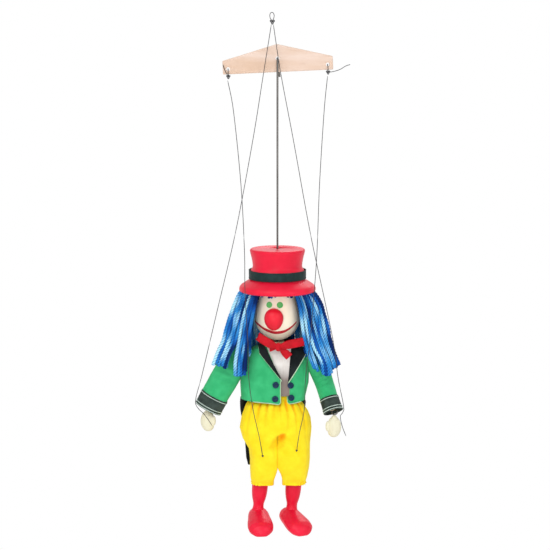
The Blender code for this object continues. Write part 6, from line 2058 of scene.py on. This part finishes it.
def strand_place(side, outward, row, z):
    """A place on a strand of a side lock. Outward runs from the face to the lock's outer edge."""
    parting, inner_draw, outer_draw = HAIR_PARTING[side]
    parted = ease((HAIR_PARTING_Z[0] - z) / (HAIR_PARTING_Z[0] - HAIR_PARTING_Z[1]))
    if outward < parting:
        share = outward * (1 - inner_draw * parted)
    else:
        share = 1 - (1 - outward) * (1 - outer_draw * parted)
    inner = straight(HAIR_INNER[side], z)
    x = inner + (straight(HAIR_OUTER[side], z) - inner) * share
    by_face = max(1 - outward / HAIR_FACE_SHARE, 0.0) * straight(HAIR_FACE_Y, z)
    y = straight(HAIR_MIDDLE_Y, z) + by_face + (row - 1) * HAIR_ROW_DEPTH
    return Vector((SIDES[side] * x, y, z))


def outward_at(bearing):
    """The level way out at a bearing in degrees from the front towards the viewer's right."""
    angle = math.radians(bearing)
    return Vector((math.sin(angle), -math.cos(angle), 0.0))


def rooted(places):
    """A smooth route that starts under the hat and leads out to the given places."""
    out = Vector((places[0].x, places[0].y, 0.0)).normalized()
    root = HAIR_ROOT_RADIUS * out + Vector((0.0, 0.0, HAIR_ROOT_Z))
    return smooth_route([root] + places, HAIR_ROUTE_POINTS)


def side_strands(side, chance):
    """The strands of a side lock in three rows, front row first, each with its radius and dye, the rows behind darkened
    by painted shade.
    """
    strands = []
    for row, count in enumerate(HAIR_ROW_STRANDS):
        for number in range(count):
            outward = min((number + 0.5 * (row % 2)) / (count - 1), 1.0)
            tip = straight(HAIR_TIPS[side], outward) + chance.uniform(-HAIR_TIP_CHANCE, HAIR_TIP_CHANCE)
            places = []
            for z in np.linspace(HAIR_START_Z, tip + HAIR_ROW_TIP * row, 7).tolist():
                loose = HAIR_LOOSE * Vector((chance.uniform(-1, 1), chance.uniform(-1, 1), 0.0))
                places.append(strand_place(side, outward, row, z) + loose)
            # Each row further back is darkened as painted shade
            dye = straight(HAIR_DYES[side], outward) - HAIR_ROW_PAINTED_SHADE * row
            dye += chance.uniform(-HAIR_DYE_CHANCE, HAIR_DYE_CHANCE)
            strands.append((rooted(places), YARN_RADIUS, dye))
    return strands


BACK_ROWS = (15, 14)
BACK_HALF_WIDTHS = [(-0.1610, 0.0140), (-0.1743, 0.0172), (-0.1883, 0.0190), (-0.2013, 0.0203),
                    (-0.2143, 0.0196)]
BACK_MIDDLE_Y = [(-0.1610, 0.0195), (-0.1743, 0.0208), (-0.1883, 0.0202), (-0.2013, 0.0190),
                 (-0.2143, 0.0184)]
BACK_ROW_DEPTH = 0.0022
BACK_ROUND = 0.0030
BACK_LOOSE = 0.0004
BACK_START_Z = BRIM_UNDER_Z - 0.0030
BACK_DYES = (0.2, 0.85)
BACK_TIPS = (-0.2120, -0.2155)
SIDE_BEARINGS = (74.0, 82.0, 90.0, 98.0, 106.0, 114.0, 122.0, 130.0)
SIDE_REACH = [(-0.1603, 0.0186), (-0.1740, 0.0196), (-0.2100, 0.0204)]
SIDE_TIPS = (-0.2020, -0.2090)


def back_strands(chance):
    """Two rows of strands down the back, and a few down each side of the head next to them."""
    routes = []
    for row, count in enumerate(BACK_ROWS):
        for across in both_ways(count):
            places = []
            for z in np.linspace(BACK_START_Z, chance.uniform(*BACK_TIPS), 6).tolist():
                y = straight(BACK_MIDDLE_Y, z) + (0.5 - row) * BACK_ROW_DEPTH - BACK_ROUND * across ** 2
                y += chance.uniform(-BACK_LOOSE, BACK_LOOSE)
                places.append(Vector((across * straight(BACK_HALF_WIDTHS, z), y, z)))
            routes.append(rooted(places))
    for side in SIDES.values():
        for bearing in SIDE_BEARINGS:
            out = outward_at(side * bearing)
            levels = np.linspace(BACK_START_Z, chance.uniform(*SIDE_TIPS), 5).tolist()
            routes.append(rooted([straight(SIDE_REACH, z) * out + Vector((0.0, 0.0, z)) for z in levels]))
    return [(route, YARN_RADIUS, chance.uniform(*BACK_DYES)) for route in routes]


FRINGE_ENDS = 17
FRINGE_BEARING = 58.0
FRINGE_BEARING_CHANCE = 2.0
FRINGE_DROPS = (0.0036, 0.0066)
FRINGE_RADIUS = 0.0010
FRINGE_REACH = 0.0148
FRINGE_LOOSE = 0.001
FRINGE_BEND = 0.6


def fringe_strands(chance):
    """Short ends of navy yarn that show under the brim, over the forehead."""
    strands = []
    for across in both_ways(FRINGE_ENDS):
        bearing = FRINGE_BEARING * across + chance.uniform(-FRINGE_BEARING_CHANCE, FRINGE_BEARING_CHANCE)
        out = outward_at(bearing)
        drop = chance.uniform(*FRINGE_DROPS)
        loose = chance.uniform(-FRINGE_LOOSE, FRINGE_LOOSE)
        places = [FRINGE_REACH * out + Vector((0.0, 0.0, HAIR_ROOT_Z - FRINGE_BEND * drop)),
                  FRINGE_REACH * out + Vector((loose, 0.0, HAIR_ROOT_Z - drop))]
        strands.append((rooted(places), FRINGE_RADIUS, 0.0))
    return strands


def add_yarn(name, strands, chance, *nodes):
    """Soft plied yarn along each (route, radius, dye), where the dye may carry painted shade too. The dye changes along
    it.
    """
    points, faces, plies, dyes = [], [], [], []
    for route, radius, dye in strands:
        route = even_route(route, YARN_SPACING)
        size = radius * chance.uniform(*YARN_SIZES)
        pitch = YARN_PITCH * chance.uniform(*YARN_PITCHES)
        more, skin = tube_parts(route, size, YARN_SIDES, YARN_PLIES, pitch, YARN_PLY_DEPTH, len(points),
                                YARN_BLUNT)
        start = chance.uniform(*DYE_STARTS)
        for index, point in enumerate(more):
            place = route[index // YARN_SIDES]
            plies.append((point - place).length / size)
            dyes.append(dye + DYE_CHANGE * noise.noise(Vector((start, 0.0, place.z / DYE_LENGTH))))
        points += more
        faces += skin
    item = mesh_object(name, points, faces, FINISHES["blue_yarn"])
    for attribute, values in (("ply", plies), ("dye", dyes)):
        item.data.attributes.new(attribute, "FLOAT", "POINT").data.foreach_set("value", values)
    wear(recalc_normals(item), "head", "blue_yarn", *nodes)
    return item


def add_hair():
    chance = random.Random("clown hair")
    for side in SIDES:
        lock = add_yarn("hair_%s_yarn" % side, side_strands(side, chance), chance, "hair_" + side)
        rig.squash(lock, "shoulder_" + side, axis=(0, 0, 1), anchor=(0, 0, BRIM_UNDER_Z), keep=HAIR_LIFTED)
    add_yarn("hair_back_yarn", back_strands(chance), chance, "hair_back")
    add_yarn("hair_fringe", fringe_strands(chance), chance)


# Build

add_stage()
finish_frame()
add_strings()
add_hat()
add_head()
add_hair()
add_jacket()
for side in SIDES:
    add_sleeve(side)
    add_hand(side)
    add_tail(side)
    add_leg(side)
add_trousers()
size = {"cad": [list(corner) for corner in cad_box], "visual": [list(corner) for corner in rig.bounds()]}
with open("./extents.json", "w") as report:
    json.dump(size, report)
